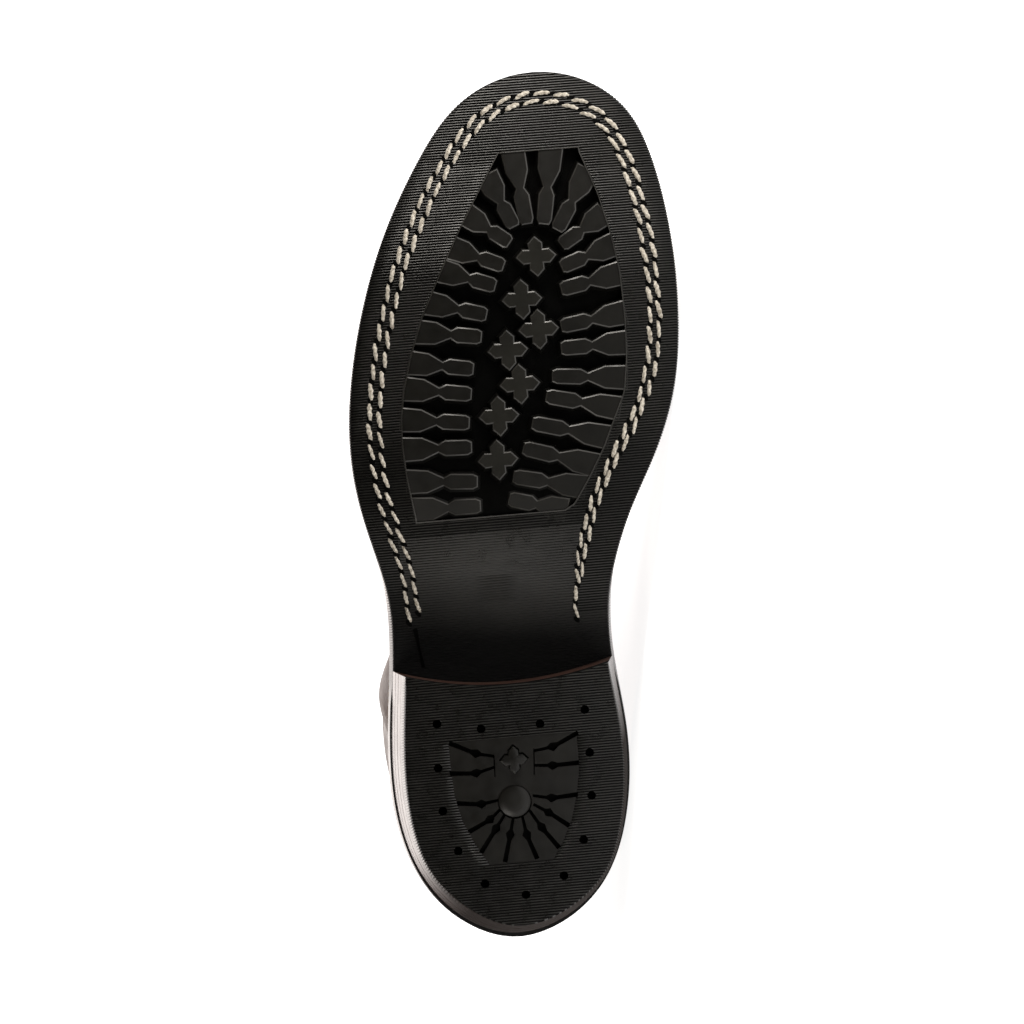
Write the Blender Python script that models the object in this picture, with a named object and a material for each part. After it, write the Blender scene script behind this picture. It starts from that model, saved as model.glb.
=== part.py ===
"""Packer boot for the right foot, laid on its inner side.

Sizes are millimetres in the boot's own standing frame: x runs from the back of the heel seat to
the toe, y towards the inner (medial) side and z up from the ground. The boot is shaped standing,
and an empty then lays it down with its sole edge and its shaft on the floor.
"""
import math

import bmesh
import bpy
import numpy as np
from mathutils import Matrix


def table(columns, *rows):
    """A small table of sizes: each named column becomes an array, a row for each section."""
    return dict(zip(columns.split(), np.array(rows, float).T))


MM = 0.001
GAP = 0.3
FEATHER_GAP = 0.6

# Sole, from the ground up
HEEL_TOP_PIECE = 8.6
HEEL_LIFTS = 3
OUTSOLE_FORE = 9.5
OUTSOLE_HEEL = 5.2
MIDSOLE = 5.0
WELT = 4.0
WELT_ROW = 0.48
INSOLE = 3.4
INSOLE_CLEAR = 0.9
MIDSOLE_SETBACK = 0.5
WELT_SETBACK = 0.9
HEEL_SIDE_TAPER = 4.4
HEEL_BACK_TAPER = 7.0
HEEL_BACK_LENGTH = 32.0
BREAST_X = 91.8
BREAST_SLANT = 0.086
BREAST_HOLLOW = 0.0042

OUTLINE = table(
    "x lateral medial",
    (0.0, 2.4, 2.4),
    (8.0, -19.4, 24.4),
    (20.0, -30.5, 35.4),
    (45.0, -40.2, 43.4),
    (75.0, -42.5, 43.2),
    (105.0, -42.2, 37.8),
    (128.0, -45.0, 36.9),
    (150.0, -52.0, 41.2),
    (170.0, -56.2, 49.3),
    (195.0, -56.4, 56.9),
    (220.0, -52.8, 58.5),
    (248.0, -45.0, 56.2),
    (275.0, -32.8, 50.4),
    (296.0, -18.0, 40.0),
    (308.0, 11.5, 11.5),
)

# Height of the tread along the boot: heel seat, shank, flat ball and toe spring
PROFILE = table(
    "x tread",
    (-10.0, 31.8),
    (45.0, 30.2),
    (82.0, 29.0),
    (98.0, 27.1),
    (114.0, 21.4),
    (136.0, 10.6),
    (160.0, 2.3),
    (180.0, 0.0),
    (234.0, 0.0),
    (262.0, 4.2),
    (288.0, 11.2),
    (312.0, 19.4),
)

# Width of the step that the welt shows outside the upper
STEP = table(
    "x reach",
    (0.0, 2.8),
    (80.0, 3.2),
    (130.0, 5.5),
    (200.0, 8.0),
    (308.0, 9.0),
)

# Lug panel of the forefoot
PANEL_DEPTH = 4.0
LUG_DROP = 0.5
PANEL = table(
    "x lateral medial",
    (149.2, -33.2, 14.0),
    (155.0, -34.6, 22.3),
    (164.0, -36.6, 27.2),
    (175.0, -38.2, 32.4),
    (184.0, -38.6, 35.6),
    (194.0, -37.8, 39.4),
    (206.0, -35.4, 40.2),
    (220.0, -31.4, 39.6),
    (236.0, -24.8, 37.8),
    (250.0, -18.6, 34.6),
    (264.0, -11.6, 30.3),
    (279.5, -3.8, 23.8),
)
LUGS = table(
    "out_x_lat out_y_lat in_x_lat in_y_lat out_x_med out_y_med in_x_med in_y_med",
    (278.8, 0.8, 252.7, 5.4, 279.9, 14.2, 252.7, 11.3),
    (269.8, -8.4, 251.7, 1.0, 272.0, 27.0, 250.6, 15.9),
    (255.9, -15.6, 246.0, -0.6, 256.6, 32.4, 245.3, 17.2),
    (244.3, -21.2, 237.9, -2.7, 245.7, 35.8, 237.6, 17.2),
    (236.2, -24.9, 230.9, -5.6, 235.5, 37.8, 229.8, 17.1),
    (224.9, -29.3, 220.8, -8.7, 221.8, 39.4, 216.9, 17.1),
    (214.8, -32.8, 213.1, -10.5, 211.3, 39.8, 209.2, 17.1),
    (204.0, -35.7, 201.9, -13.3, 199.1, 39.8, 199.5, 14.0),
    (194.9, -37.5, 193.1, -14.0, 188.3, 37.4, 192.5, 11.9),
    (184.1, -38.5, 183.1, -14.7, 178.2, 33.5, 183.1, 7.0),
    (173.7, -38.0, 174.6, -13.9, 168.4, 29.3, 174.4, 3.9),
    (162.5, -36.2, 162.6, -11.8, 160.7, 25.5, 164.4, 0.5),
    (152.7, -34.0, 154.1, -10.6, 152.6, 19.0, 156.6, -0.9),
)
LUG_SHAPE = table(
    "along half_width",
    (-0.10, 3.7),
    (0.35, 3.5),
    (0.56, 1.4),
    (0.70, 2.4),
    (0.91, 2.4),
    (1.00, 1.6),
)
CROSSES = table(
    "x y",
    (241.4, 8.5),
    (226.3, 3.5),
    (215.9, 9.4),
    (208.5, -1.4),
    (196.7, 2.8),
    (185.5, -4.5),
    (170.2, -4.8),
)
CROSS_TIP = 7.4
CROSS_SHOULDER = 4.6
CROSS_ARM = 2.6
CROSS_TURN = math.radians(5.0)

# Lug panel of the heel top piece
HEEL_PANEL_DEPTH = 0.6
GROOVE_DEPTH = 2.6
GROOVE_WIDTH = 1.7
HEEL_PANEL = table(
    "x lateral medial",
    (29.2, -8.0, 13.8),
    (36.0, -12.8, 17.6),
    (44.0, -17.2, 20.8),
    (53.0, -20.0, 22.7),
    (63.0, -21.4, 23.6),
    (73.6, -22.4, 22.7),
)
GROOVES = table(
    "out_x out_y in_x in_y",
    (71.0, -20.2, 66.6, -6.5),
    (60.6, -20.0, 62.3, -6.2),
    (50.4, -18.0, 51.1, -5.0),
    (41.6, -14.4, 48.2, -4.6),
    (34.4, -10.4, 46.4, -2.4),
    (31.0, -2.4, 45.0, 0.2),
    (31.4, 9.0, 45.2, 4.6),
    (35.0, 15.6, 47.0, 6.8),
    (43.0, 19.2, 49.4, 8.6),
    (53.1, 21.6, 52.8, 8.4),
    (63.9, 22.2, 63.7, 8.5),
    (72.6, 21.0, 68.4, 8.5),
)

# Upper: rings from the feather line to the collar. Ends are given from the ends of the feather
# line; lateral and medial are half-widths of the oval that the ring turns into, foot_share is
# how much of the footprint's shape is left, and full scales the oval towards its ends.
UPPER = table(
    "back_x back_up front_x front_up back_y front_y lateral medial wide_at "
    "back_full front_full foot_share foot_scale",
    (0.0, 0.0, 0.0, 0.0, 2.4, 11.3, 40.0, 40.0, 0.50, 1.00, 1.00, 1.00, 1.000),
    (-1.6, 7.5, 2.8, 8.0, 2.4, 11.3, 40.0, 40.0, 0.50, 1.00, 1.00, 1.00, 1.018),
    (-2.6, 15.5, 2.8, 17.0, 2.4, 11.3, 40.0, 40.0, 0.50, 1.00, 1.00, 1.00, 1.022),
    (-2.8, 24.5, -1.8, 26.5, 2.3, 11.0, 40.0, 40.0, 0.48, 1.05, 0.98, 0.96, 1.006),
    (-2.2, 34.0, -12.0, 34.5, 2.2, 10.2, 39.4, 39.4, 0.45, 1.10, 0.94, 0.85, 0.970),
    (-1.0, 43.0, -28.5, 40.2, 2.1, 9.0, 38.6, 38.8, 0.42, 1.12, 0.87, 0.64, 0.930),
    (0.4, 52.0, -48.5, 45.0, 2.0, 7.5, 38.2, 38.6, 0.40, 1.12, 0.80, 0.44, 0.900),
    (1.8, 61.0, -70.0, 51.0, 1.9, 6.0, 38.6, 39.0, 0.40, 1.10, 0.76, 0.28, 0.880),
    (3.0, 69.5, -91.0, 58.5, 1.8, 4.8, 39.2, 39.8, 0.40, 1.07, 0.74, 0.16, 0.870),
    (4.0, 77.5, -109.5, 67.5, 1.7, 4.0, 39.8, 40.5, 0.40, 1.04, 0.74, 0.08, 0.860),
    (4.9, 86.0, -126.5, 78.5, 1.6, 3.2, 40.2, 41.0, 0.41, 1.01, 0.76, 0.03, 0.860),
    (5.5, 95.5, -141.0, 92.0, 1.5, 2.5, 40.2, 41.2, 0.43, 0.99, 0.80, 0.00, 0.860),
    (5.7, 107.5, -152.0, 109.0, 1.5, 2.0, 39.9, 41.0, 0.45, 0.97, 0.85, 0.00, 0.860),
    (5.1, 124.5, -159.5, 130.5, 1.5, 1.6, 39.6, 41.0, 0.47, 0.97, 0.90, 0.00, 0.860),
    (3.0, 152.5, -164.0, 161.5, 1.5, 1.5, 39.6, 41.4, 0.49, 0.98, 0.95, 0.00, 0.860),
    (-0.4, 188.5, -166.0, 201.0, 1.5, 1.5, 40.2, 42.4, 0.50, 1.00, 0.98, 0.00, 0.860),
    (-3.8, 226.0, -167.0, 241.5, 1.5, 1.5, 41.0, 43.6, 0.50, 1.00, 1.00, 0.00, 0.860),
    (-5.0, 241.0, -167.5, 255.0, 1.5, 1.5, 41.2, 44.0, 0.50, 1.00, 1.00, 0.00, 0.860),
)
COLLAR_ROW = 16.0
TONGUE_TOP_ROW = 16.9
WALL = 2.2

# Ankle bones that push the upper out, on each side
ANKLE = table(
    "side x z swell reach_x reach_z",
    (-1.0, 80.0, 108.0, 5.4, 19.0, 24.0),
    (1.0, 84.0, 116.0, 3.2, 20.0, 24.0),
)

# Throat, tongue and panels, by ring row and by distance round the ring
THROAT_ROW = 8.8
THROAT = table(
    "row half_gap",
    (8.8, 0.0),
    (9.1, 5.6),
    (9.6, 8.4),
    (11.0, 10.5),
    (14.0, 12.0),
    (17.0, 13.0),
)
TONGUE_FOOT_ROW = 7.4
TONGUE_COLUMNS = 3
TONGUE = 2.6
TONGUE_CLEAR = 0.6
PANEL_FOOT_ROW = 0.8
PANEL_SKIN = 1.5
COUNTER_COLUMNS = 7
COUNTER_END_ROW = 2.3
COUNTER_BACK_ROW = 5.4
VAMP_COLUMNS = 13
VAMP_END_ROW = 0.8
VAMP_FRONT_ROW = 8.45
VAMP_FALL = 2.3
EYESTAY_FOOT_ROW = 9.25
EYESTAY_COLUMNS = 3.6
BACKSTAY_FOOT_ROW = 5.55
BACKSTAY_FOOT_COLUMNS = 1.15
BACKSTAY_TOP_COLUMNS = 2.0

# Eyelets and lace
EYELET_PAIRS = 7
EYELET_FOOT_ROW = 9.65
EYELET_TOP_ROW = 15.72
EYELET_INSET = 11.0
EYELET_OUTER = 4.2
EYELET_INNER = 2.5
EYELET_THICK = 1.1
EYELET_SIDES = 8
LACE_RADIUS = 1.6
LACE_SIDES = 4
LACE_OVER_TONGUE = 2.2
LACE_PAST_EYELET = 2.5
LACE_SLOPE = 16.0

# How far the shaft's side is pressed flat where it lies on the floor
FLOOR_PRESS = 1.3


def eased_curve(knots, values):
    """Monotone cubic through the rows, which keeps a flat stretch flat."""
    step = np.diff(knots)
    slope = np.diff(values) / step
    tangent = np.zeros(len(knots))
    tangent[0], tangent[-1] = slope[0], slope[-1]
    for i in range(1, len(knots) - 1):
        if slope[i - 1] * slope[i] > 0:
            before = 2 * step[i] + step[i - 1]
            after = step[i] + 2 * step[i - 1]
            tangent[i] = (before + after) / (before / slope[i - 1] + after / slope[i])

    def curve(x):
        x = np.clip(x, knots[0], knots[-1])
        i = np.clip(np.searchsorted(knots, x, side="right") - 1, 0, len(step) - 1)
        t = (x - knots[i]) / step[i]
        return (
            (2 * t**3 - 3 * t**2 + 1) * values[i]
            + (t**3 - 2 * t**2 + t) * step[i] * tangent[i]
            + (3 * t**2 - 2 * t**3) * values[i + 1]
            + (t**3 - t**2) * step[i] * tangent[i + 1]
        )

    return curve


def smooth_curve(knots, values):
    """Natural cubic spline through the rows, for all columns of values at once."""
    count = len(knots)
    step = np.diff(knots)
    system = np.eye(count)
    right = np.zeros(values.shape)
    for i in range(1, count - 1):
        system[i, i - 1 : i + 2] = step[i - 1], 2 * (step[i - 1] + step[i]), step[i]
        rise = (values[i + 1] - values[i]) / step[i]
        right[i] = 6 * (rise - (values[i] - values[i - 1]) / step[i - 1])
    bend = np.linalg.solve(system, right)

    def curve(x):
        x = np.asarray(x, float)
        i = np.clip(np.searchsorted(knots, x, side="right") - 1, 0, count - 2)
        low = (x - knots[i])[..., None]
        high = (knots[i + 1] - x)[..., None]
        width = step[i][..., None]
        return (
            (bend[i] * high**3 + bend[i + 1] * low**3) / (6 * width)
            + (values[i] / width - bend[i] * width / 6) * high
            + (values[i + 1] / width - bend[i + 1] * width / 6) * low
        )

    return curve


def run_along(points):
    """Length along a line of points, from its first point to each."""
    return np.concatenate(([0.0], np.cumsum(np.linalg.norm(np.diff(points, axis=0), axis=1))))


def ease(t):
    """Smooth step from 0 to 1."""
    t = np.clip(t, 0.0, 1.0)
    return t * t * (3 - 2 * t)


# Heights along the boot
tread = eased_curve(PROFILE["x"], PROFILE["tread"])
welt_reach = eased_curve(STEP["x"], STEP["reach"])


def outsole_top(x):
    """Upper face of the outsole, which thins from the ball to the heel seat."""
    thin = ease((np.asarray(x, float) - BREAST_X) / 70.0)
    return tread(x) + OUTSOLE_HEEL + (OUTSOLE_FORE - OUTSOLE_HEEL) * thin


def midsole_top(x):
    return outsole_top(x) + GAP + MIDSOLE


def feather_height(x):
    """The line where the upper meets the midsole."""
    return midsole_top(x) + FEATHER_GAP


# Outline of the sole
HALF_SAMPLES = 240


def closed_outline():
    """Outline from the heel's end along the lateral side to the toe and back, smooth all round."""
    rows = OUTLINE
    side = np.column_stack((rows["x"], rows["lateral"]))
    back = np.column_stack((rows["x"], rows["medial"]))[-2:0:-1]
    ring = np.concatenate((side, back))
    lead = 4
    run = np.concatenate((ring[-lead:], ring, ring[: lead + 1]))
    knots = run_along(run)
    curve = smooth_curve(knots, run)
    heel, toe = knots[lead], knots[lead + len(side) - 1]
    end = knots[lead + len(ring)]
    halves = []
    for start, stop in ((heel, toe), (toe, end)):
        dense = np.linspace(start, stop, 8 * HALF_SAMPLES)
        points = curve(dense)
        length = run_along(points)
        even = np.linspace(0.0, length[-1], HALF_SAMPLES + 1)
        halves.append(curve(np.interp(even, length, dense)))
    return np.concatenate((halves[0][:-1], halves[1][:-1]))


def inset(points, distance):
    """The outline moved inwards along its normals."""
    along = np.roll(points, -1, axis=0) - np.roll(points, 1, axis=0)
    along /= np.linalg.norm(along, axis=1)[:, None]
    inward = np.column_stack((along[:, 1], -along[:, 0]))
    after = np.roll(points, -1, axis=0)
    area = np.sum(points[:, 0] * after[:, 1] - points[:, 1] * after[:, 0])
    turn = -1.0 if area > 0 else 1.0
    return points + turn * inward * np.broadcast_to(distance, (len(points),))[:, None]


def edges_of(points):
    """Ends of an outline, and its lateral and medial edge as functions of x."""
    ring = np.roll(points, -points[:, 0].argmin(), axis=0)
    toe = ring[:, 0].argmax()
    lateral_side = ring[: toe + 1]
    medial_side = np.concatenate((ring[toe:], ring[:1]))[::-1]

    def lateral(x):
        return np.interp(x, lateral_side[:, 0], lateral_side[:, 1])

    def medial(x):
        return np.interp(x, medial_side[:, 0], medial_side[:, 1])

    return ring[0], ring[toe], lateral, medial


SOLE_EDGE = closed_outline()
FEATHER_EDGE = inset(SOLE_EDGE, welt_reach(SOLE_EDGE[:, 0]))


def along_edge(points, side, fraction):
    """Point of an outline, from the heel's end (0) to the toe's (1) along one side."""
    place = np.where(side < 0, fraction, 2.0 - fraction) * HALF_SAMPLES
    index = np.arange(2 * HALF_SAMPLES + 1)
    ring = np.concatenate((points, points[:1]))
    return np.stack([np.interp(place, index, ring[:, axis]) for axis in (0, 1)], axis=-1)


# Surface of the upper
HEEL_END = FEATHER_EDGE[0]
TOE_END = FEATHER_EDGE[HALF_SAMPLES]
HEEL_END_Z = feather_height(HEEL_END[0])
TOE_END_Z = feather_height(TOE_END[0])
UPPER_COLUMNS = list(UPPER)
UPPER_SIZES = np.column_stack(list(UPPER.values()))
upper_rows = smooth_curve(np.arange(len(UPPER_SIZES), dtype=float), UPPER_SIZES)


def free_surface(row, turn):
    """Outside of the upper before it is pressed on the floor.

    row counts the rings of the table; turn is 0 at the back, -1 or 1 at the front, negative on
    the lateral side.
    """
    row, turn = np.broadcast_arrays(np.asarray(row, float), np.asarray(turn, float))
    turn = (turn + 1.0) % 2.0 - 1.0
    ring = dict(zip(UPPER_COLUMNS, np.moveaxis(upper_rows(row), -1, 0)))
    side = np.where(turn < 0, -1.0, 1.0)
    fraction = np.abs(turn)

    foot = along_edge(FEATHER_EDGE, side, fraction)
    foot_length = TOE_END[0] - HEEL_END[0]
    foot_along = (foot[..., 0] - HEEL_END[0]) / foot_length
    foot_across = foot[..., 1] - HEEL_END[1] - foot_along * (TOE_END[1] - HEEL_END[1])
    foot_lift = feather_height(foot[..., 0]) - HEEL_END_Z - foot_along * (TOE_END_Z - HEEL_END_Z)

    angle = math.pi * fraction
    oval_along = 0.5 - 0.5 * np.cos(angle)
    oval_along = oval_along + (ring["wide_at"] - 0.5) * np.sin(angle) ** 2
    towards_front = ease((oval_along - 0.4) / 0.6)
    towards_back = ease((0.4 - oval_along) / 0.4)
    full = 1 + (ring["front_full"] - 1) * towards_front + (ring["back_full"] - 1) * towards_back
    half = np.where(side < 0, ring["lateral"], ring["medial"])
    oval_across = side * half * np.sin(angle) * full

    share = ring["foot_share"]
    along = share * foot_along + (1 - share) * oval_along
    across = share * ring["foot_scale"] * foot_across + (1 - share) * oval_across
    back_x = HEEL_END[0] + ring["back_x"]
    front_x = TOE_END[0] + ring["front_x"]
    back_z = HEEL_END_Z + ring["back_up"]
    front_z = TOE_END_Z + ring["front_up"]
    x = back_x + along * (front_x - back_x)
    y = ring["back_y"] + along * (ring["front_y"] - ring["back_y"]) + across
    z = back_z + along * (front_z - back_z) + share**2 * foot_lift
    for bone in range(len(ANKLE["side"])):
        spread = ((x - ANKLE["x"][bone]) / ANKLE["reach_x"][bone]) ** 2
        spread = spread + ((z - ANKLE["z"][bone]) / ANKLE["reach_z"][bone]) ** 2
        swell = ANKLE["side"][bone] * ANKLE["swell"][bone] * np.exp(-spread)
        y = y + np.where(side == ANKLE["side"][bone], swell, 0.0)
    return np.stack((x, y, z), axis=-1)


def floor_plane():
    """The floor in the boot's frame, y = offset + slope_x * x + slope_z * z.

    It touches the medial edge of the sole at the ball and at the heel, and the shaft's side is
    pressed in by FLOOR_PRESS.
    """
    along = SOLE_EDGE[:, 0]
    sole = np.concatenate((
        np.column_stack((SOLE_EDGE, outsole_top(along))),
        np.column_stack((SOLE_EDGE, tread(along))),
    ))
    rows, turns = np.meshgrid(np.linspace(11.0, COLLAR_ROW, 41), np.linspace(0.1, 0.9, 41))
    shaft = free_surface(rows.ravel(), turns.ravel())
    heel_side = sole[sole[:, 0] < BREAST_X]
    ball_side = sole[sole[:, 0] > BREAST_X]

    def reach(points, slope_x, slope_z):
        return points @ np.array((-slope_x, 1.0, -slope_z))

    low, high = -0.3, 0.3
    for _ in range(60):
        slope_z = (low + high) / 2
        slope_x = 0.0
        for _ in range(30):
            heel_point = heel_side[np.argmax(reach(heel_side, slope_x, slope_z))]
            ball_point = ball_side[np.argmax(reach(ball_side, slope_x, slope_z))]
            rise = ball_point - heel_point
            slope_x = (rise[1] - slope_z * rise[2]) / rise[0]
        offset = reach(heel_point, slope_x, slope_z)
        press = np.max(reach(shaft, slope_x, slope_z)) - offset
        if press > FLOOR_PRESS:
            low = slope_z
        else:
            high = slope_z
    return offset, slope_x, slope_z


FLOOR = floor_plane()


def upper_surface(row, turn):
    """Outside of the upper, flat where its shaft lies on the floor."""
    points = free_surface(row, turn)
    offset, slope_x, slope_z = FLOOR
    limit = offset + slope_x * points[..., 0] + slope_z * points[..., 2]
    points[..., 1] = np.minimum(points[..., 1], limit)
    return points


def upper_normal(row, turn):
    """Outward normal of the upper."""
    row, turn = np.broadcast_arrays(np.asarray(row, float), np.asarray(turn, float))
    up = upper_surface(row + 0.05, turn) - upper_surface(row - 0.05, turn)
    round_ring = upper_surface(row, turn + 0.006) - upper_surface(row, turn - 0.006)
    normal = np.cross(up, round_ring)
    return normal / np.linalg.norm(normal, axis=-1)[..., None]


def off_upper(row, turn, distance):
    """Point at a distance outside (or, negative, inside) the upper's outer face."""
    distance = np.asarray(distance, float)[..., None]
    return upper_surface(row, turn) + upper_normal(row, turn) * distance


def turn_from_front(row, distance):
    """Turn of the point that lies a distance round the ring from the front, negative lateral."""
    side = -1.0 if distance < 0 else 1.0
    fraction = np.linspace(1.0, 0.3, 141)
    ring = upper_surface(row, side * fraction)
    return side * np.interp(abs(distance), run_along(ring), fraction)


throat_gap = eased_curve(THROAT["row"], THROAT["half_gap"])


# Net of the upper: the rows and columns that its facets and its panels share
HALF_COLUMNS = 22
FOOT_NET_ROW = 1.3
NET_COLUMNS = np.arange(-HALF_COLUMNS, HALF_COLUMNS + 1)
NET_ROWS = np.concatenate((
    (0.0, PANEL_FOOT_ROW),
    np.linspace(FOOT_NET_ROW, THROAT_ROW, 11),
    np.linspace(EYESTAY_FOOT_ROW, COLLAR_ROW, 9),
))


def throat_turn(row, side):
    """Turn of the throat's edge, which is the front itself below the throat."""
    if row <= THROAT_ROW:
        return 1.0
    return abs(turn_from_front(row, side * float(throat_gap(row))))


def net_turns(row, columns):
    """Turns of the net's columns, which crowd together beside the throat."""
    share = np.asarray(columns, float) / HALF_COLUMNS
    edge = np.where(share < 0, throat_turn(row, -1.0), throat_turn(row, 1.0))
    return share * (1.0 - (1.0 - edge) * share**2)


def net_sheet(distance):
    """The net moved off the upper's outer face by a distance."""
    lines = []
    for row in NET_ROWS:
        turns = net_turns(row, NET_COLUMNS)
        lines.append(off_upper(row, turns, np.full(len(turns), distance)))
    return np.array(lines)


def on_facets(sheet, rows, columns):
    """Points on the flat facets of a net, at any row and column."""
    rows, columns = np.broadcast_arrays(np.asarray(rows, float), np.asarray(columns, float))
    i = np.clip(np.searchsorted(NET_ROWS, rows, side="right") - 1, 0, len(NET_ROWS) - 2)
    j = np.clip(np.floor(columns).astype(int) + HALF_COLUMNS, 0, 2 * HALF_COLUMNS - 1)
    up = ((rows - NET_ROWS[i]) / (NET_ROWS[i + 1] - NET_ROWS[i]))[..., None]
    over = (columns - (j - HALF_COLUMNS))[..., None]
    low = sheet[i, j] * (1 - over) + sheet[i, j + 1] * over
    high = sheet[i + 1, j] * (1 - over) + sheet[i + 1, j + 1] * over
    return low * (1 - up) + high * up


# Objects
def clear_scene():
    for thing in list(bpy.data.objects):
        bpy.data.objects.remove(thing, do_unlink=True)


def make_material(name, colour, roughness, metallic=0.0):
    material = bpy.data.materials.new(name)
    material.use_nodes = True
    shader = material.node_tree.nodes["Principled BSDF"]
    shader.inputs["Base Color"].default_value = (*colour, 1.0)
    shader.inputs["Roughness"].default_value = roughness
    shader.inputs["Metallic"].default_value = metallic
    return material


def make_object(name, points, faces, material, parent):
    """A closed mesh object from points in millimetres."""
    mesh = bpy.data.meshes.new(name)
    shape = bmesh.new()
    corners = [shape.verts.new(point) for point in np.asarray(points, float) * MM]
    for face in faces:
        shape.faces.new([corners[i] for i in face])
    bmesh.ops.recalc_face_normals(shape, faces=shape.faces)
    bmesh.ops.triangulate(shape, faces=shape.faces)
    shape.to_mesh(mesh)
    shape.free()
    mesh.materials.append(material)
    thing = bpy.data.objects.new(name, mesh)
    bpy.context.scene.collection.objects.link(thing)
    thing.parent = parent
    return thing


def make_cutter(name, points, faces, parent):
    """A form that only cuts or joins others."""
    thing = make_object(name, points, faces, MATERIALS["rubber"], parent)
    thing.hide_render = True
    thing.display_type = "WIRE"
    return thing


def use_boolean(thing, operation, other):
    cut = thing.modifiers.new(other.name, "BOOLEAN")
    cut.operation = operation
    cut.object = other
    cut.solver = "EXACT"


def solid_of_sheets(outer, inner):
    """Points and faces of the solid between two matching grids of points.

    Grid points that fall together become one, so a grid may close on itself or end in a point.
    """
    rows, columns = outer.shape[:2]
    known, ids, kept = {}, np.zeros((rows, columns), int), []
    for i in range(rows):
        for j in range(columns):
            key = tuple(np.round(outer[i, j], 3))
            if key not in known:
                known[key] = len(kept)
                kept.append((i, j))
            ids[i, j] = known[key]
    faces = []
    for i in range(rows - 1):
        for j in range(columns - 1):
            a, b, c, d = ids[i, j], ids[i, j + 1], ids[i + 1, j + 1], ids[i + 1, j]
            for face in ((a, b, c), (a, c, d)):
                if len(set(face)) == 3:
                    faces.append(face)
    places = np.array(kept).T
    return thicken(outer[places[0], places[1]], inner[places[0], places[1]], faces)


def thicken(outer, inner, faces):
    """Points and faces of the solid between two matching sheets."""
    count = len(outer)
    used = {}
    for face in faces:
        for a, b in zip(face, face[1:] + face[:1]):
            used.setdefault(frozenset((a, b)), []).append((a, b))
    rim = [pairs[0] for pairs in used.values() if len(pairs) == 1]
    solid = list(faces)
    solid += [tuple(i + count for i in reversed(face)) for face in faces]
    solid += [(b, a, a + count, b + count) for a, b in rim]
    return np.concatenate((outer, inner)), solid


RUNGS = 42


def slab(points, bottom, top, count):
    """Points and faces of a sole layer: a ladder of rungs across an outline."""
    heel, toe, lateral, medial = edges_of(points)
    spread = (1 - np.cos(np.linspace(0.0, math.pi, count + 1))) / 2
    stations = (heel[0] + (toe[0] - heel[0]) * spread)[1:-1]
    plan = [tuple(heel)]
    for x in stations:
        plan += [(x, float(lateral(x))), (x, float(medial(x)))]
    plan.append(tuple(toe))
    last = len(plan) - 1
    floor_faces = [(0, 1, 2)]
    for i in range(len(stations) - 1):
        a = 1 + 2 * i
        floor_faces.append((a, a + 2, a + 3, a + 1))
    floor_faces.append((last - 2, last, last - 1))
    plan = np.array(plan)
    low = np.column_stack((plan, bottom(plan[:, 0])))
    high = np.column_stack((plan, top(plan[:, 0])))
    return thicken(low, high, floor_faces)


def prism(plan, bottom, top):
    """Points and faces of a prism over a plan outline between two height functions."""
    plan = np.asarray(plan, float)
    low = np.column_stack((plan, bottom(plan[:, 0])))
    high = np.column_stack((plan, top(plan[:, 0])))
    return thicken(low, high, [tuple(range(len(plan)))])


def gather(solids):
    """One point list and one face list from several solids."""
    points, faces = [], []
    for solid_points, solid_faces in solids:
        start = len(points)
        points += [tuple(point) for point in solid_points]
        faces += [tuple(i + start for i in face) for face in solid_faces]
    return np.array(points), faces


def level(height):
    """A height that is the same everywhere."""
    return lambda x: np.full(np.shape(x), float(height))


# Sole pieces
def panel_cutter(rows, face, depth):
    """Ladder over a lug panel, from below the tread up to the panel's floor."""
    plan = []
    for x, lateral, medial in zip(rows["x"], rows["lateral"], rows["medial"]):
        plan += [(x, lateral), (x, medial)]
    plan = np.array(plan)
    faces = [(2 * i, 2 * i + 2, 2 * i + 3, 2 * i + 1) for i in range(len(rows["x"]) - 1)]
    low = np.column_stack((plan, face(plan[:, 0]) - 3.0))
    high = np.column_stack((plan, face(plan[:, 0]) + depth))
    return thicken(low, high, faces)


def lug_plan(outer, inner):
    """Bottle-shaped lug from its broad outer end to its narrow inner end."""
    outer, inner = np.array(outer), np.array(inner)
    along = inner - outer
    across = np.array((-along[1], along[0])) / np.linalg.norm(along)
    spine = [outer + along * step for step in LUG_SHAPE["along"]]
    left = [point + across * half for point, half in zip(spine, LUG_SHAPE["half_width"])]
    right = [point - across * half for point, half in zip(spine, LUG_SHAPE["half_width"])]
    return np.array(left + right[::-1])


def cross_plan(centre):
    """Cross with four pointed arms."""
    corners = []
    for arm in range(4):
        spoke = arm * math.pi / 2 - CROSS_TURN
        ahead = np.array((math.cos(spoke), math.sin(spoke)))
        aside = np.array((-math.sin(spoke), math.cos(spoke)))
        corners.append(ahead * CROSS_ARM - aside * CROSS_ARM)
        corners.append(ahead * CROSS_SHOULDER - aside * CROSS_ARM)
        corners.append(ahead * CROSS_TIP)
        corners.append(ahead * CROSS_SHOULDER + aside * CROSS_ARM)
    return np.array(corners) + np.array(centre)


def groove_plan(outer, inner):
    """Straight groove of even width."""
    outer, inner = np.array(outer), np.array(inner)
    along = (inner - outer) / np.linalg.norm(inner - outer)
    across = np.array((-along[1], along[0])) * GROOVE_WIDTH / 2
    return np.array((outer - across, inner - across, inner + across, outer + across))


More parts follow.
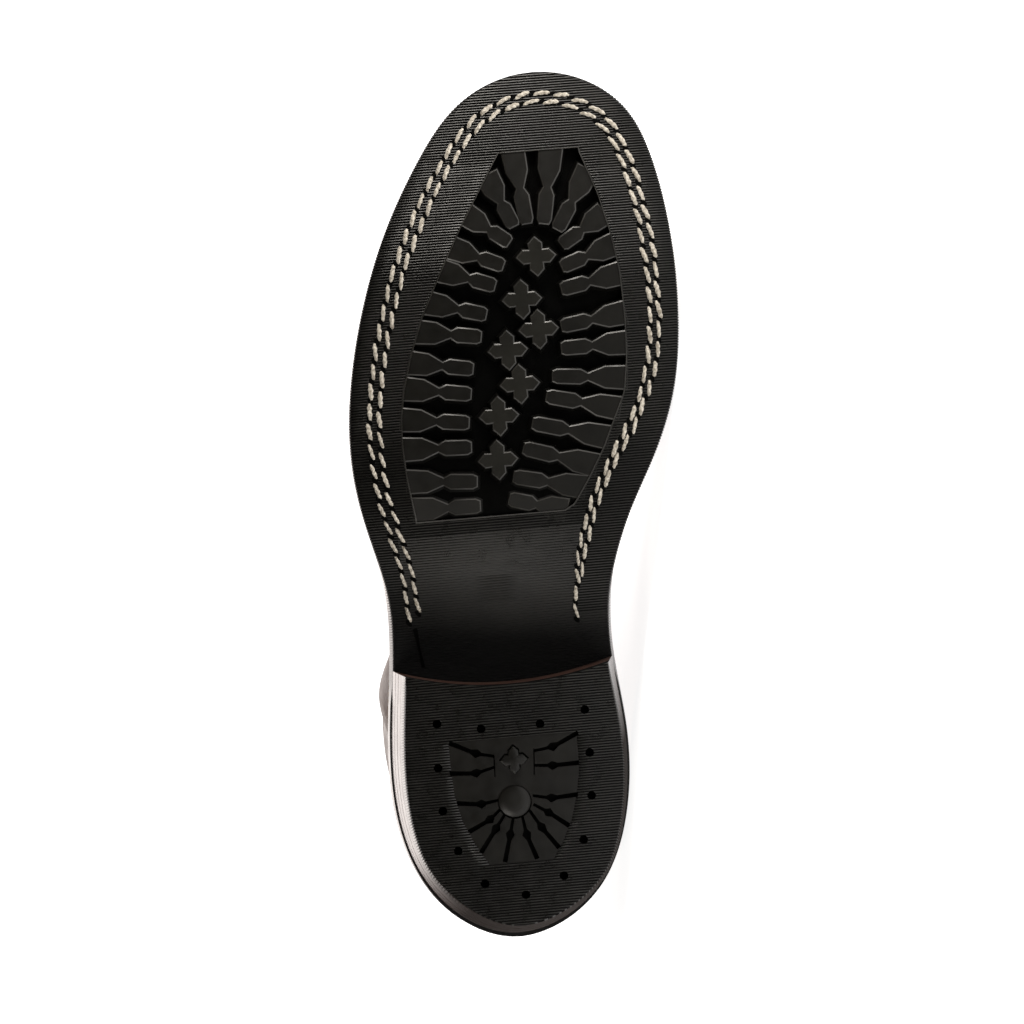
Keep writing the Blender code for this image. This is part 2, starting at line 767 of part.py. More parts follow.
def make_outsole(parent):
    points, faces = slab(SOLE_EDGE, tread, outsole_top, RUNGS)
    outsole = make_object("outsole", points, faces, MATERIALS["rubber"], parent)
    panel = make_cutter("outsole_panel_cutter", *panel_cutter(PANEL, tread, PANEL_DEPTH), parent)
    use_boolean(outsole, "DIFFERENCE", panel)

    def lug_top(x):
        return tread(x) + LUG_DROP

    def lug_root(x):
        return tread(x) + PANEL_DEPTH + 1.0

    solids = []
    for side in ("lat", "med"):
        ends = (LUGS[f"{end}_{axis}_{side}"] for end in ("out", "in") for axis in "xy")
        for out_x, out_y, in_x, in_y in zip(*ends):
            solids.append(prism(lug_plan((out_x, out_y), (in_x, in_y)), lug_top, lug_root))
    for centre in zip(CROSSES["x"], CROSSES["y"]):
        solids.append(prism(cross_plan(centre), lug_top, lug_root))
    lugs = make_cutter("outsole_lugs", *gather(solids), parent)
    use_boolean(outsole, "UNION", lugs)
    return outsole


def heel_plan(height):
    """Outline of the heel at a height above the ground, closed by its hollow breast."""
    taper = 1.0 - height / tread(0.0)
    back_share = ease(1.0 - SOLE_EDGE[:, 0] / HEEL_BACK_LENGTH)
    side_inset = HEEL_SIDE_TAPER + (HEEL_BACK_TAPER - HEEL_SIDE_TAPER) * back_share
    ring = inset(SOLE_EDGE, MIDSOLE_SETBACK + side_inset * taper)

    def breast(y):
        return BREAST_X + BREAST_SLANT * y + BREAST_HOLLOW * y * y

    ring = np.roll(ring, HALF_SAMPLES, axis=0)
    kept = ring[ring[:, 0] < breast(ring[:, 1])]
    picks = np.unique(np.round(np.linspace(0, len(kept) - 1, 23)).astype(int))
    wall = kept[picks]
    across = np.linspace(wall[-1, 1], wall[0, 1], 7)[1:-1]
    front = np.column_stack((breast(across), across))
    return np.concatenate((wall, front))


def heel_block(low, high, bottom, top):
    """A lift of the heel: tapered sides between two levels, with its own end faces."""
    lower, upper = heel_plan(low), heel_plan(high)
    first = np.column_stack((lower, bottom(lower[:, 0])))
    second = np.column_stack((upper, top(upper[:, 0])))
    return thicken(first, second, [tuple(range(len(lower)))])


def make_heel(parent):
    points, faces = heel_block(0.0, HEEL_TOP_PIECE, level(0.0), level(HEEL_TOP_PIECE))
    top_piece = make_object("heel_top_piece", points, faces, MATERIALS["rubber"], parent)
    panel = make_cutter(
        "heel_panel_cutter", *panel_cutter(HEEL_PANEL, level(0.0), HEEL_PANEL_DEPTH), parent
    )
    use_boolean(top_piece, "DIFFERENCE", panel)
    grooves = [
        prism(groove_plan((out_x, out_y), (in_x, in_y)), level(-1.0), level(GROOVE_DEPTH))
        for out_x, out_y, in_x, in_y in zip(*GROOVES.values())
    ]
    use_boolean(top_piece, "DIFFERENCE", make_cutter("heel_groove_cutter", *gather(grooves), parent))

    seat = float(tread(BREAST_X)) - GAP
    lift = (seat - HEEL_TOP_PIECE - 1.0) / HEEL_LIFTS
    for number in range(HEEL_LIFTS):
        low = HEEL_TOP_PIECE + GAP + number * lift
        high = low + lift - GAP
        top = level(high)
        if number == HEEL_LIFTS - 1:
            def top(x):
                return tread(x) - GAP - 0.1
        points, faces = heel_block(low, high, level(low), top)
        make_object(f"heel_lift_{number + 1}", points, faces, MATERIALS["stack"], parent)


def make_midsole(parent):
    def bottom(x):
        return outsole_top(x) + GAP

    points, faces = slab(inset(SOLE_EDGE, MIDSOLE_SETBACK), bottom, midsole_top, RUNGS)
    make_object("midsole", points, faces, MATERIALS["sole_leather"], parent)


def make_insole(parent):
    edge = inset(SOLE_EDGE, welt_reach(SOLE_EDGE[:, 0]) + WALL + INSOLE_CLEAR)

    def top(x):
        return feather_height(x) + INSOLE

    points, faces = slab(edge, feather_height, top, RUNGS)
    make_object("insole", points, faces, MATERIALS["lining"], parent)


def make_welt(parent):
    """Strip round the foot of the upper, its inner wall on the upper's own facets."""
    columns = np.arange(-HALF_COLUMNS, HALF_COLUMNS, 0.5)
    count = len(columns)
    sides = np.where(columns < 0, -1.0, 1.0)
    outer = along_edge(inset(SOLE_EDGE, WELT_SETBACK), sides, np.abs(columns) / HALF_COLUMNS)
    sheet = net_sheet(GAP)
    inner_low = on_facets(sheet, 0.0, columns)
    inner_low[:, 2] = feather_height(inner_low[:, 0])
    inner_high = on_facets(sheet, WELT_ROW, columns)
    outer_low = np.column_stack((outer, feather_height(outer[:, 0])))
    outer_high = np.column_stack((outer, feather_height(outer[:, 0]) + WELT))
    points = np.concatenate((inner_low, outer_low, outer_high, inner_high))
    faces = []
    for i in range(count):
        j = (i + 1) % count
        for a, b in ((0, 1), (1, 2), (2, 3), (3, 0)):
            faces.append((a * count + i, a * count + j, b * count + j, b * count + i))
    make_object("welt", points, faces, MATERIALS["welt"], parent)


# Upper pieces
def make_upper(parent):
    """The hollow wall: rings from the feather line to the collar, split at the throat."""
    outer = net_sheet(0.0)
    inner = net_sheet(-WALL)
    inner[0, :, 2] = outer[0, :, 2]
    points, faces = solid_of_sheets(outer, inner)
    make_object("upper", points, faces, MATERIALS["upper"], parent)


def make_panel(name, columns, low, high, parent):
    """A panel on the upper between a low and a high row at each of its columns."""
    rows = np.clip(NET_ROWS[:, None], low, high)
    rows = rows[np.any(np.diff(rows, axis=0, prepend=-1.0) != 0, axis=1)]
    columns = np.broadcast_to(columns, rows.shape)
    near = on_facets(net_sheet(GAP), rows, columns)
    far = on_facets(net_sheet(GAP + PANEL_SKIN), rows, columns)
    points, faces = solid_of_sheets(far, near)
    make_object(name, points, faces, MATERIALS["upper"], parent)


def make_counter(parent):
    columns = np.arange(-COUNTER_COLUMNS, COUNTER_COLUMNS + 1)
    drop = np.abs(columns) / COUNTER_COLUMNS
    tops = COUNTER_BACK_ROW + (COUNTER_END_ROW - COUNTER_BACK_ROW) * drop**2
    make_panel("counter", columns, np.full(len(columns), PANEL_FOOT_ROW), tops, parent)


def make_vamp(parent):
    """Forepart, in two runs of columns that meet at the front."""
    reach = np.arange(VAMP_COLUMNS, -1, -1)
    fall = (reach / VAMP_COLUMNS) ** VAMP_FALL
    tops = VAMP_FRONT_ROW + (VAMP_END_ROW - VAMP_FRONT_ROW) * fall
    rows = np.clip(NET_ROWS[:, None], PANEL_FOOT_ROW, tops)
    rows = rows[np.any(np.diff(rows, axis=0, prepend=-1.0) != 0, axis=1)]
    sides = []
    for sheet in (net_sheet(GAP + PANEL_SKIN), net_sheet(GAP)):
        medial = on_facets(sheet, rows, HALF_COLUMNS - reach)
        lateral = on_facets(sheet, rows, reach - HALF_COLUMNS)
        sides.append(np.concatenate((medial, lateral[:, -2::-1]), axis=1))
    points, faces = solid_of_sheets(*sides)
    make_object("vamp", points, faces, MATERIALS["upper"], parent)


def make_eyestay(name, side, parent):
    whole = np.arange(math.floor(EYESTAY_COLUMNS), -1, -1)
    columns = side * (HALF_COLUMNS - np.concatenate(((EYESTAY_COLUMNS,), whole)))
    low = np.full(len(columns), EYESTAY_FOOT_ROW)
    make_panel(name, columns, low, np.full(len(columns), COLLAR_ROW), parent)


def make_backstay(parent):
    rows = NET_ROWS[(NET_ROWS > BACKSTAY_FOOT_ROW) & (NET_ROWS <= COLLAR_ROW)]
    rows = np.concatenate(((BACKSTAY_FOOT_ROW,), rows))
    share = ease((rows - rows[0]) / (rows[-1] - rows[0]))
    half = BACKSTAY_FOOT_COLUMNS + (BACKSTAY_TOP_COLUMNS - BACKSTAY_FOOT_COLUMNS) * share
    one = np.ones(len(half))
    columns = np.stack((-half, -one, 0 * one, one, half), axis=1)
    sheets = [on_facets(net_sheet(d), rows[:, None], columns) for d in (GAP + PANEL_SKIN, GAP)]
    points, faces = solid_of_sheets(*sheets)
    make_object("backstay", points, faces, MATERIALS["upper"], parent)


def make_tongue(parent):
    """Sheet behind the throat: the columns beside it, then three across the gap."""
    above = np.linspace(COLLAR_ROW, TONGUE_TOP_ROW, 3)[1:]
    rows = np.concatenate((NET_ROWS[NET_ROWS >= TONGUE_FOOT_ROW], above))
    lines = []
    for row in rows:
        beside = HALF_COLUMNS - np.arange(TONGUE_COLUMNS, -1, -1)
        lateral = net_turns(row, -beside)
        medial = net_turns(row, beside)[::-1]
        middle = ((lateral[-1] - 1.0) / 2, -1.0, (medial[0] + 1.0) / 2)
        lines.append(np.concatenate((lateral, middle, medial)))
    turns = np.array(lines)
    grid = np.broadcast_to(rows[:, None], turns.shape)
    face = -(WALL + TONGUE_CLEAR)
    outer = off_upper(grid, turns, np.full(turns.shape, face))
    inner = off_upper(grid, turns, np.full(turns.shape, face - TONGUE))
    points, faces = solid_of_sheets(outer, inner)
    make_object("tongue", points, faces, MATERIALS["lining"], parent)


def eyelet_rows():
    """Rows of the eyelets, evenly spaced up the throat's edge."""
    rows = np.linspace(EYELET_FOOT_ROW, EYELET_TOP_ROW, 101)
    run = run_along(upper_surface(rows, 0.9))
    return np.interp(np.linspace(0.0, run[-1], EYELET_PAIRS), run, rows)


def eyelet_turn(row, side):
    return turn_from_front(row, side * (float(throat_gap(row)) + EYELET_INSET))


EYELET_SEAT = GAP + PANEL_SKIN + GAP + 0.2


def make_eyelet(name, row, side, parent):
    """Flat ring with its hole along the upper's normal."""
    turn = eyelet_turn(row, side)
    centre = off_upper(row, turn, np.array(EYELET_SEAT))
    normal = upper_normal(row, turn)
    ahead = np.cross(normal, (0.0, 0.0, 1.0))
    ahead /= np.linalg.norm(ahead)
    aside = np.cross(normal, ahead)
    count = EYELET_SIDES
    section = (
        (0.0, EYELET_INNER),
        (0.0, EYELET_OUTER),
        (EYELET_THICK, EYELET_OUTER),
        (EYELET_THICK, EYELET_INNER),
    )
    points = []
    for height, radius in section:
        for step in range(count):
            angle = 2 * math.pi * step / count
            spoke = ahead * math.cos(angle) + aside * math.sin(angle)
            points.append(centre + normal * height + spoke * radius)
    faces = []
    for step in range(count):
        after = (step + 1) % count
        for a in range(4):
            b = (a + 1) % 4
            faces.append((a * count + step, a * count + after, b * count + after, b * count + step))
    make_object(name, points, faces, MATERIALS["eyelet"], parent)


def tube(path, radius, sides):
    """Points and faces of a closed round tube along a path."""
    path = np.asarray(path, float)
    along = np.gradient(path, axis=0)
    along /= np.linalg.norm(along, axis=1)[:, None]
    lean = np.cross(along, (1.0, 0.0, 0.3))
    lean /= np.linalg.norm(lean, axis=1)[:, None]
    third = np.cross(along, lean)
    angles = 2 * math.pi * np.arange(sides) / sides
    rings = [
        centre + radius * (np.cos(angles)[:, None] * first + np.sin(angles)[:, None] * second)
        for centre, first, second in zip(path, lean, third)
    ]
    faces = [tuple(range(sides)), tuple((len(path) - 1) * sides + i for i in range(sides))]
    for k in range(len(path) - 1):
        for i in range(sides):
            j = (i + 1) % sides
            faces.append((k * sides + i, k * sides + j, (k + 1) * sides + j, (k + 1) * sides + i))
    return np.concatenate(rings), faces


def lace_path(low, high, side):
    """One crossing: from an eyelet over the tongue to the next eyelet on the other side."""
    over_eyelet = EYELET_SEAT + EYELET_THICK + GAP + LACE_RADIUS + 0.2
    half_low = float(throat_gap(low)) + EYELET_INSET
    half_high = float(throat_gap(high)) + EYELET_INSET
    across = half_low + half_high
    steps = np.linspace(-LACE_PAST_EYELET / across, 1.0 + LACE_PAST_EYELET / across, 8)
    rows = low + (high - low) * steps
    distances = side * (half_low - across * steps)
    turns = np.array([turn_from_front(row, d) for row, d in zip(rows, distances)])
    from_eyelet = across * np.minimum(steps, 1.0 - steps)
    sink = ease((from_eyelet - EYELET_OUTER - LACE_RADIUS) / LACE_SLOPE)
    return off_upper(rows, turns, over_eyelet + (LACE_OVER_TONGUE - over_eyelet) * sink)


def make_lace(rows, parent):
    """All crossings joined into one solid."""
    others = bpy.data.collections.new("lace_crossings")
    bpy.context.scene.collection.children.link(others)
    lace = None
    for number, (low, high) in enumerate(zip(rows, rows[1:])):
        for side in (-1.0, 1.0):
            points, faces = tube(lace_path(low, high, side), LACE_RADIUS, LACE_SIDES)
            if lace is None:
                lace = make_object("lace", points, faces, MATERIALS["lace"], parent)
                continue
            hand = "lateral" if side < 0 else "medial"
            crossing = make_cutter(f"lace_{number + 1}_{hand}", points, faces, parent)
            bpy.context.scene.collection.objects.unlink(crossing)
            others.objects.link(crossing)
    join = lace.modifiers.new("join", "BOOLEAN")
    join.operation = "UNION"
    join.operand_type = "COLLECTION"
    join.collection = others
    join.solver = "EXACT"


def rest_matrix(pieces):
    """Turns the standing boot onto the floor plane, its toe along +X and its shaft along +Y."""
    offset, slope_x, slope_z = FLOOR
    up = np.array((slope_x, -1.0, slope_z))
    up /= np.linalg.norm(up)
    ahead = np.array((1.0, 0.0, 0.0)) - up * up[0]
    ahead /= np.linalg.norm(ahead)
    turn = np.stack((ahead, np.cross(up, ahead), up))
    corners = np.concatenate([[tuple(vertex.co) for vertex in piece.data.vertices] for piece in pieces])
    placed = corners @ turn.T
    middle = (placed.min(axis=0) + placed.max(axis=0)) / 2
    matrix = np.eye(4)
    matrix[:3, :3] = turn
    matrix[:3, 3] = -middle[0], -middle[1], -placed[:, 2].min()
    return Matrix(matrix.tolist())


clear_scene()
MATERIALS = {
    "rubber": make_material("black_rubber", (0.020, 0.019, 0.016), 0.55),
    "stack": make_material("heel_stack_leather", (0.045, 0.024, 0.018), 0.3),
    "sole_leather": make_material("midsole_leather", (0.050, 0.028, 0.020), 0.35),
    "welt": make_material("welt_leather", (0.060, 0.034, 0.024), 0.4),
    "upper": make_material("upper_leather", (0.060, 0.030, 0.020), 0.38),
    "lining": make_material("lining_leather", (0.300, 0.190, 0.110), 0.6),
    "eyelet": make_material("eyelet_brass", (0.350, 0.240, 0.100), 0.35, 1.0),
    "lace": make_material("lace_cotton", (0.050, 0.032, 0.022), 0.8),
}
boot = bpy.data.objects.new("packer_boot", None)
bpy.context.scene.collection.objects.link(boot)

make_outsole(boot)
make_heel(boot)
make_midsole(boot)
make_insole(boot)
make_welt(boot)
make_upper(boot)
make_tongue(boot)
make_counter(boot)
make_vamp(boot)
make_eyestay("eyestay_lateral", -1.0, boot)
make_eyestay("eyestay_medial", 1.0, boot)
make_backstay(boot)
lace_rows = eyelet_rows()
for pair, row in enumerate(lace_rows):
    make_eyelet(f"eyelet_lateral_{pair + 1}", row, -1.0, boot)
    make_eyelet(f"eyelet_medial_{pair + 1}", row, 1.0, boot)
make_lace(lace_rows, boot)

shown = [piece for piece in boot.children if not piece.hide_render]
boot.matrix_world = rest_matrix(shown)
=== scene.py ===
# %% [markdown]
# # A packer boot for the right foot, laid on its inner side
# The picture looks straight at the sole, so most of this lesson is about rubber: fine ribs, a
# sunk panel of lugs, two rows of thread and a stacked heel. The upper is made with the same care,
# because a part in a library is turned round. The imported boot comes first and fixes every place.

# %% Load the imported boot
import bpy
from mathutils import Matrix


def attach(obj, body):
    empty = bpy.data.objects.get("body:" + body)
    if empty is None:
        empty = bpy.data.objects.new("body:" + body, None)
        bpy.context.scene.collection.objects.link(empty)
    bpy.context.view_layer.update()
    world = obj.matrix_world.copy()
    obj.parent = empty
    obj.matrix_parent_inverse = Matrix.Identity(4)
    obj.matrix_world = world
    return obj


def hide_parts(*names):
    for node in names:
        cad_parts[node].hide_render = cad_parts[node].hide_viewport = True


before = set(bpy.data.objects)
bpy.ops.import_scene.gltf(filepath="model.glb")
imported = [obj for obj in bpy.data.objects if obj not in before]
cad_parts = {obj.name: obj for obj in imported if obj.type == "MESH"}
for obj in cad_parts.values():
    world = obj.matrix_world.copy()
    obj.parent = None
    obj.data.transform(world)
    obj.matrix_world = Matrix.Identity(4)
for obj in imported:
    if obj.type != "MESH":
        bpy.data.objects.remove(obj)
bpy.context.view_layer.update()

# %% [markdown]
# Sizes are millimetres in the boot's standing frame: x from the back of the heel to the toe, y
# towards the inner side, z up from the ground. A shoemaker thinks in that frame, so the shapes
# are made in it, and one small function lays every point down on the floor in metres.

# %% Tools, units and the way the boot is laid down
import math

import bmesh
import bpy
import numpy as np
from mathutils import Matrix, Vector

MM = 0.001
# The floor in the boot's frame: y = FLOOR[0] + FLOOR[1] * x + FLOOR[2] * z.
FLOOR = (39.5563, 0.0909591, -0.0048154)
# Brings the middle of the laid boot's box over the origin, with its lowest point at zero.
REST_SHIFT = np.array((-152.6815, -142.0725, 39.3932))


def unit(vectors):
    """Vectors brought to length one."""
    return vectors / np.linalg.norm(vectors, axis=-1, keepdims=True)


def laid_axes():
    """Rows are the world's X, Y and Z in the boot's frame: toe, shaft, and up from the floor."""
    up = unit(np.array((FLOOR[1], -1.0, FLOOR[2])))
    ahead = unit(np.array((1.0, 0.0, 0.0)) - up * up[0])
    return np.stack((ahead, np.cross(up, ahead), up))


LAID = laid_axes()


def place(points):
    """Boot millimetres to world metres."""
    return (np.asarray(points, float) @ LAID.T + REST_SHIFT) * MM


def table(columns, *rows):
    """A small table: each named column becomes an array."""
    return dict(zip(columns.split(), np.array(rows, float).T))


print("toe direction in the world:", LAID[:, 0].round(3))

# %% [markdown]
# The camera stands a little over a metre from the sole, slightly to the outer side, so that a
# narrow strip of the heel's side shows. The picture has the toe up, so the camera is rolled: its
# up direction is the boot's length. Setting it first lets every later piece be judged.

# %% Camera
AIM = np.array((152.0, 0.0, 0.0))
EYE = np.array((152.0, -72.7, -1300.0))
LENS = 131.1
SENSOR = 36.0


def make_camera():
    data = bpy.data.cameras.new("sole_camera")
    data.lens = LENS
    data.sensor_width = SENSOR
    data.clip_end = 20.0
    camera = bpy.data.objects.new("sole_camera", data)
    bpy.context.scene.collection.objects.link(camera)
    view = unit(LAID @ (AIM - EYE))
    up = unit(LAID[:, 0] - view * (view @ LAID[:, 0]))
    right = np.cross(view, up)
    turn = Matrix(np.stack((right, up, -view), axis=1).tolist()).to_4x4()
    camera.matrix_world = Matrix.Translation(Vector(place(EYE))) @ turn
    bpy.context.scene.camera = camera
    return camera


camera = make_camera()
print("camera height over the floor: %.3f m" % camera.matrix_world.translation.z)

# %% [markdown]
# Two kinds of curve carry all the shapes. A monotone cubic keeps a flat stretch flat, which the
# ball of the sole needs. A natural spline is smoother and suits the last. Blender has curve
# objects for this, but plain functions can be read at any point, which meshes need.

# %% Curves through tables


def eased_curve(knots, values):
    """Monotone cubic through the rows."""
    step = np.diff(knots)
    slope = np.diff(values) / step
    tangent = np.zeros(len(knots))
    tangent[0], tangent[-1] = slope[0], slope[-1]
    for i in range(1, len(knots) - 1):
        if slope[i - 1] * slope[i] > 0:
            before = 2 * step[i] + step[i - 1]
            after = step[i] + 2 * step[i - 1]
            tangent[i] = (before + after) / (before / slope[i - 1] + after / slope[i])

    def curve(x):
        x = np.clip(x, knots[0], knots[-1])
        i = np.clip(np.searchsorted(knots, x, side="right") - 1, 0, len(step) - 1)
        t = (x - knots[i]) / step[i]
        return (
            (2 * t**3 - 3 * t**2 + 1) * values[i]
            + (t**3 - 2 * t**2 + t) * step[i] * tangent[i]
            + (3 * t**2 - 2 * t**3) * values[i + 1]
            + (t**3 - t**2) * step[i] * tangent[i + 1]
        )

    return curve


def smooth_curve(knots, values):
    """Natural cubic spline through the rows, for all columns at once."""
    count = len(knots)
    step = np.diff(knots)
    system = np.eye(count)
    right = np.zeros(values.shape)
    for i in range(1, count - 1):
        system[i, i - 1 : i + 2] = step[i - 1], 2 * (step[i - 1] + step[i]), step[i]
        rise = (values[i + 1] - values[i]) / step[i]
        right[i] = 6 * (rise - (values[i] - values[i - 1]) / step[i - 1])
    bend = np.linalg.solve(system, right)

    def curve(x):
        x = np.asarray(x, float)
        i = np.clip(np.searchsorted(knots, x, side="right") - 1, 0, count - 2)
        low = (x - knots[i])[..., None]
        high = (knots[i + 1] - x)[..., None]
        width = step[i][..., None]
        return (
            (bend[i] * high**3 + bend[i + 1] * low**3) / (6 * width)
            + (values[i] / width - bend[i] * width / 6) * high
            + (values[i + 1] / width - bend[i + 1] * width / 6) * low
        )

    return curve


def run_along(points):
    """Length along a line of points, from its first point to each."""
    return np.concatenate(([0.0], np.cumsum(np.linalg.norm(np.diff(points, axis=0), axis=1))))


def on_line(places, run, line):
    """Points of a line at places along its run."""
    return np.stack([np.interp(places, run, column) for column in line.T], axis=-1)


def ease(t):
    """Smooth step from 0 to 1."""
    t = np.clip(t, 0.0, 1.0)
    return t * t * (3 - 2 * t)


print("ease at a quarter: %.3f" % ease(0.25))

# %% [markdown]
# The sole is built up in layers: heel, outsole, midsole, welt. One table gives the outline, one
# the height of the tread along the boot, with the toe spring and the rising shank. They are the
# same tables as in the CAD source, so each fine piece lies where its plain solid lies.

# %% Sole sizes
GAP = 0.3
FEATHER_GAP = 0.6
HEEL_TOP_PIECE = 8.6
OUTSOLE_FORE = 9.5
OUTSOLE_HEEL = 5.2
MIDSOLE = 5.0
WELT = 4.0
MIDSOLE_SETBACK = 0.5
WELT_SETBACK = 0.9
BREAST_X = 91.8
BREAST_HOLLOW = 0.0042
OUTLINE = table(
    "x lateral medial",
    (0.0, 2.4, 2.4),
    (8.0, -19.4, 24.4),
    (20.0, -30.5, 35.4),
    (45.0, -40.2, 43.4),
    (75.0, -42.5, 43.2),
    (105.0, -42.2, 37.8),
    (128.0, -45.0, 36.9),
    (150.0, -52.0, 41.2),
    (170.0, -56.2, 49.3),
    (195.0, -56.4, 56.9),
    (220.0, -52.8, 58.5),
    (248.0, -45.0, 56.2),
    (275.0, -32.8, 50.4),
    (296.0, -18.0, 40.0),
    (308.0, 11.5, 11.5),
)
PROFILE = table(
    "x tread",
    (-10.0, 31.8),
    (45.0, 30.2),
    (82.0, 29.0),
    (98.0, 27.1),
    (114.0, 21.4),
    (136.0, 10.6),
    (160.0, 2.3),
    (180.0, 0.0),
    (234.0, 0.0),
    (262.0, 4.2),
    (288.0, 11.2),
    (312.0, 19.4),
)
STEP = table("x reach", (0.0, 2.8), (80.0, 3.2), (130.0, 5.5), (200.0, 8.0), (308.0, 9.0))
tread = eased_curve(PROFILE["x"], PROFILE["tread"])
welt_reach = eased_curve(STEP["x"], STEP["reach"])


def outsole_top(x):
    thin = ease((np.asarray(x, float) - BREAST_X) / 70.0)
    return tread(x) + OUTSOLE_HEEL + (OUTSOLE_FORE - OUTSOLE_HEEL) * thin


def midsole_top(x):
    return outsole_top(x) + GAP + MIDSOLE


def feather_height(x):
    return midsole_top(x) + FEATHER_GAP


print("tread at heel, ball and toe:", [round(float(tread(x)), 1) for x in (0, 200, 305)])

# %% Outline of the sole
HALF_SAMPLES = 240


def closed_outline():
    """Outline from the heel's end along the lateral side to the toe and back."""
    side = np.column_stack((OUTLINE["x"], OUTLINE["lateral"]))
    back = np.column_stack((OUTLINE["x"], OUTLINE["medial"]))[-2:0:-1]
    ring = np.concatenate((side, back))
    lead = 4
    run = np.concatenate((ring[-lead:], ring, ring[: lead + 1]))
    knots = run_along(run)
    curve = smooth_curve(knots, run)
    heel, toe = knots[lead], knots[lead + len(side) - 1]
    halves = []
    for start, stop in ((heel, toe), (toe, knots[lead + len(ring)])):
        dense = np.linspace(start, stop, 8 * HALF_SAMPLES)
        length = run_along(curve(dense))
        even = np.linspace(0.0, length[-1], HALF_SAMPLES + 1)
        halves.append(curve(np.interp(even, length, dense)))
    return np.concatenate((halves[0][:-1], halves[1][:-1]))


def turning(ring):
    """1 for a plan ring that runs to the left, -1 for one that runs to the right."""
    after = np.roll(ring, -1, axis=0)
    area = np.sum(ring[:, 0] * after[:, 1] - ring[:, 1] * after[:, 0])
    return 1.0 if area > 0 else -1.0


def inset(points, distance):
    """The outline moved inwards along its normals."""
    along = unit(np.roll(points, -1, axis=0) - np.roll(points, 1, axis=0))
    outward = np.column_stack((along[:, 1], -along[:, 0])) * turning(points)
    return points - outward * np.broadcast_to(distance, (len(points),))[:, None]


SOLE_EDGE = closed_outline()
FEATHER_EDGE = inset(SOLE_EDGE, welt_reach(SOLE_EDGE[:, 0]))
print("sole: %.1f mm long, %.1f mm wide" % tuple(np.ptp(SOLE_EDGE, axis=0)))

# %% [markdown]
# Meshes here are mostly lofts: a row of rings, joined by faces. One helper turns points and faces
# into a Blender object, welds points that fall together, sets smooth shading with sharp edges
# kept, and rides the piece on the boot's only body. Every piece then says which CAD solid it
# stands for.

# %% Mesh helpers
SHARP = math.radians(38.0)
# Moulded blocks keep finer edges sharp, and sewn leather only its coarsest.
CRISP = math.radians(20.0)
SOFT = math.radians(60.0)
# Points nearer than this, in metres, become one, and shorter edges than NO_LENGTH go.
WELD = 2e-6
NO_LENGTH = 1e-7


def new_mesh(name, points, faces, finishes):
    """A mesh in world metres from boot millimetres."""
    mesh = bpy.data.meshes.new(name)
    mesh.from_pydata(place(points).tolist(), [], [tuple(int(i) for i in face) for face in faces])
    for finish in finishes:
        mesh.materials.append(finish)
    return mesh


def make_piece(name, points, faces, finishes, slot, replaces=(), face_finish=None, sharp=SHARP):
    """A closed mesh piece from boot millimetres."""
    mesh = new_mesh(name, points, faces, finishes)
    if face_finish is not None:
        mesh.polygons.foreach_set("material_index", np.asarray(face_finish, np.int32))
    shape = bmesh.new()
    shape.from_mesh(mesh)
    bmesh.ops.remove_doubles(shape, verts=shape.verts, dist=WELD)
    bmesh.ops.dissolve_degenerate(shape, edges=shape.edges, dist=NO_LENGTH)
    bmesh.ops.recalc_face_normals(shape, faces=shape.faces)
    shape.to_mesh(mesh)
    shape.free()
    mesh.polygons.foreach_set("use_smooth", np.ones(len(mesh.polygons), bool))
    mesh.set_sharp_from_angle(angle=sharp)
    piece = bpy.data.objects.new(name, mesh)
    bpy.context.scene.collection.objects.link(piece)
    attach(piece, "root")
    if replaces:
        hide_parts(*replaces)
    print("%s: %d faces" % (name, len(mesh.polygons)))
    return piece


def loft(rings, wrap=True):
    """Points and faces of rings joined in order; each ring closes on itself if wrap."""
    rings = np.asarray(rings, float)
    count, size = rings.shape[:2]
    i, j = np.meshgrid(np.arange(count - 1), np.arange(size if wrap else size - 1), indexing="ij")
    k = (j + 1) % size
    faces = np.stack((i * size + j, i * size + k, (i + 1) * size + k, (i + 1) * size + j), axis=-1)
    return rings.reshape(-1, 3), faces.reshape(-1, 4).tolist()


def capped(rings):
    """A loft closed by a face at each end."""
    points, faces = loft(rings)
    size, count = len(rings[0]), len(points)
    return points, faces + [tuple(range(size)), tuple(range(count - size, count))]


def at_height(plan, height):
    """Plan points lifted by a height function of x."""
    return np.column_stack((plan, height(plan[:, 0])))


def circle(sides):
    """Angles of the corners of a regular ring."""
    return 2 * math.pi * np.arange(sides) / sides


def gather(solids):
    """One point list and one face list from several."""
    points, faces, start = [], [], 0
    for solid_points, solid_faces in solids:
        points.append(np.asarray(solid_points, float))
        faces += [tuple(i + start for i in face) for face in solid_faces]
        start += len(solid_points)
    return np.concatenate(points), faces


print("sharp edges stay sharp over %.0f degrees" % math.degrees(SHARP))

# %% [markdown]
# Finishes are node materials. Each mixes two shades by a noise, and most have an uneven roughness
# too. Leather and thread add a fine bump, while ribs, lugs and waxed edges are shaped in the mesh
# and stay smooth. All of it is in the object's own coordinates, so nothing depends on unwrapping.
# A value that is the same all over, such as a specular level, is set on the shader itself.

# %% Finish helper


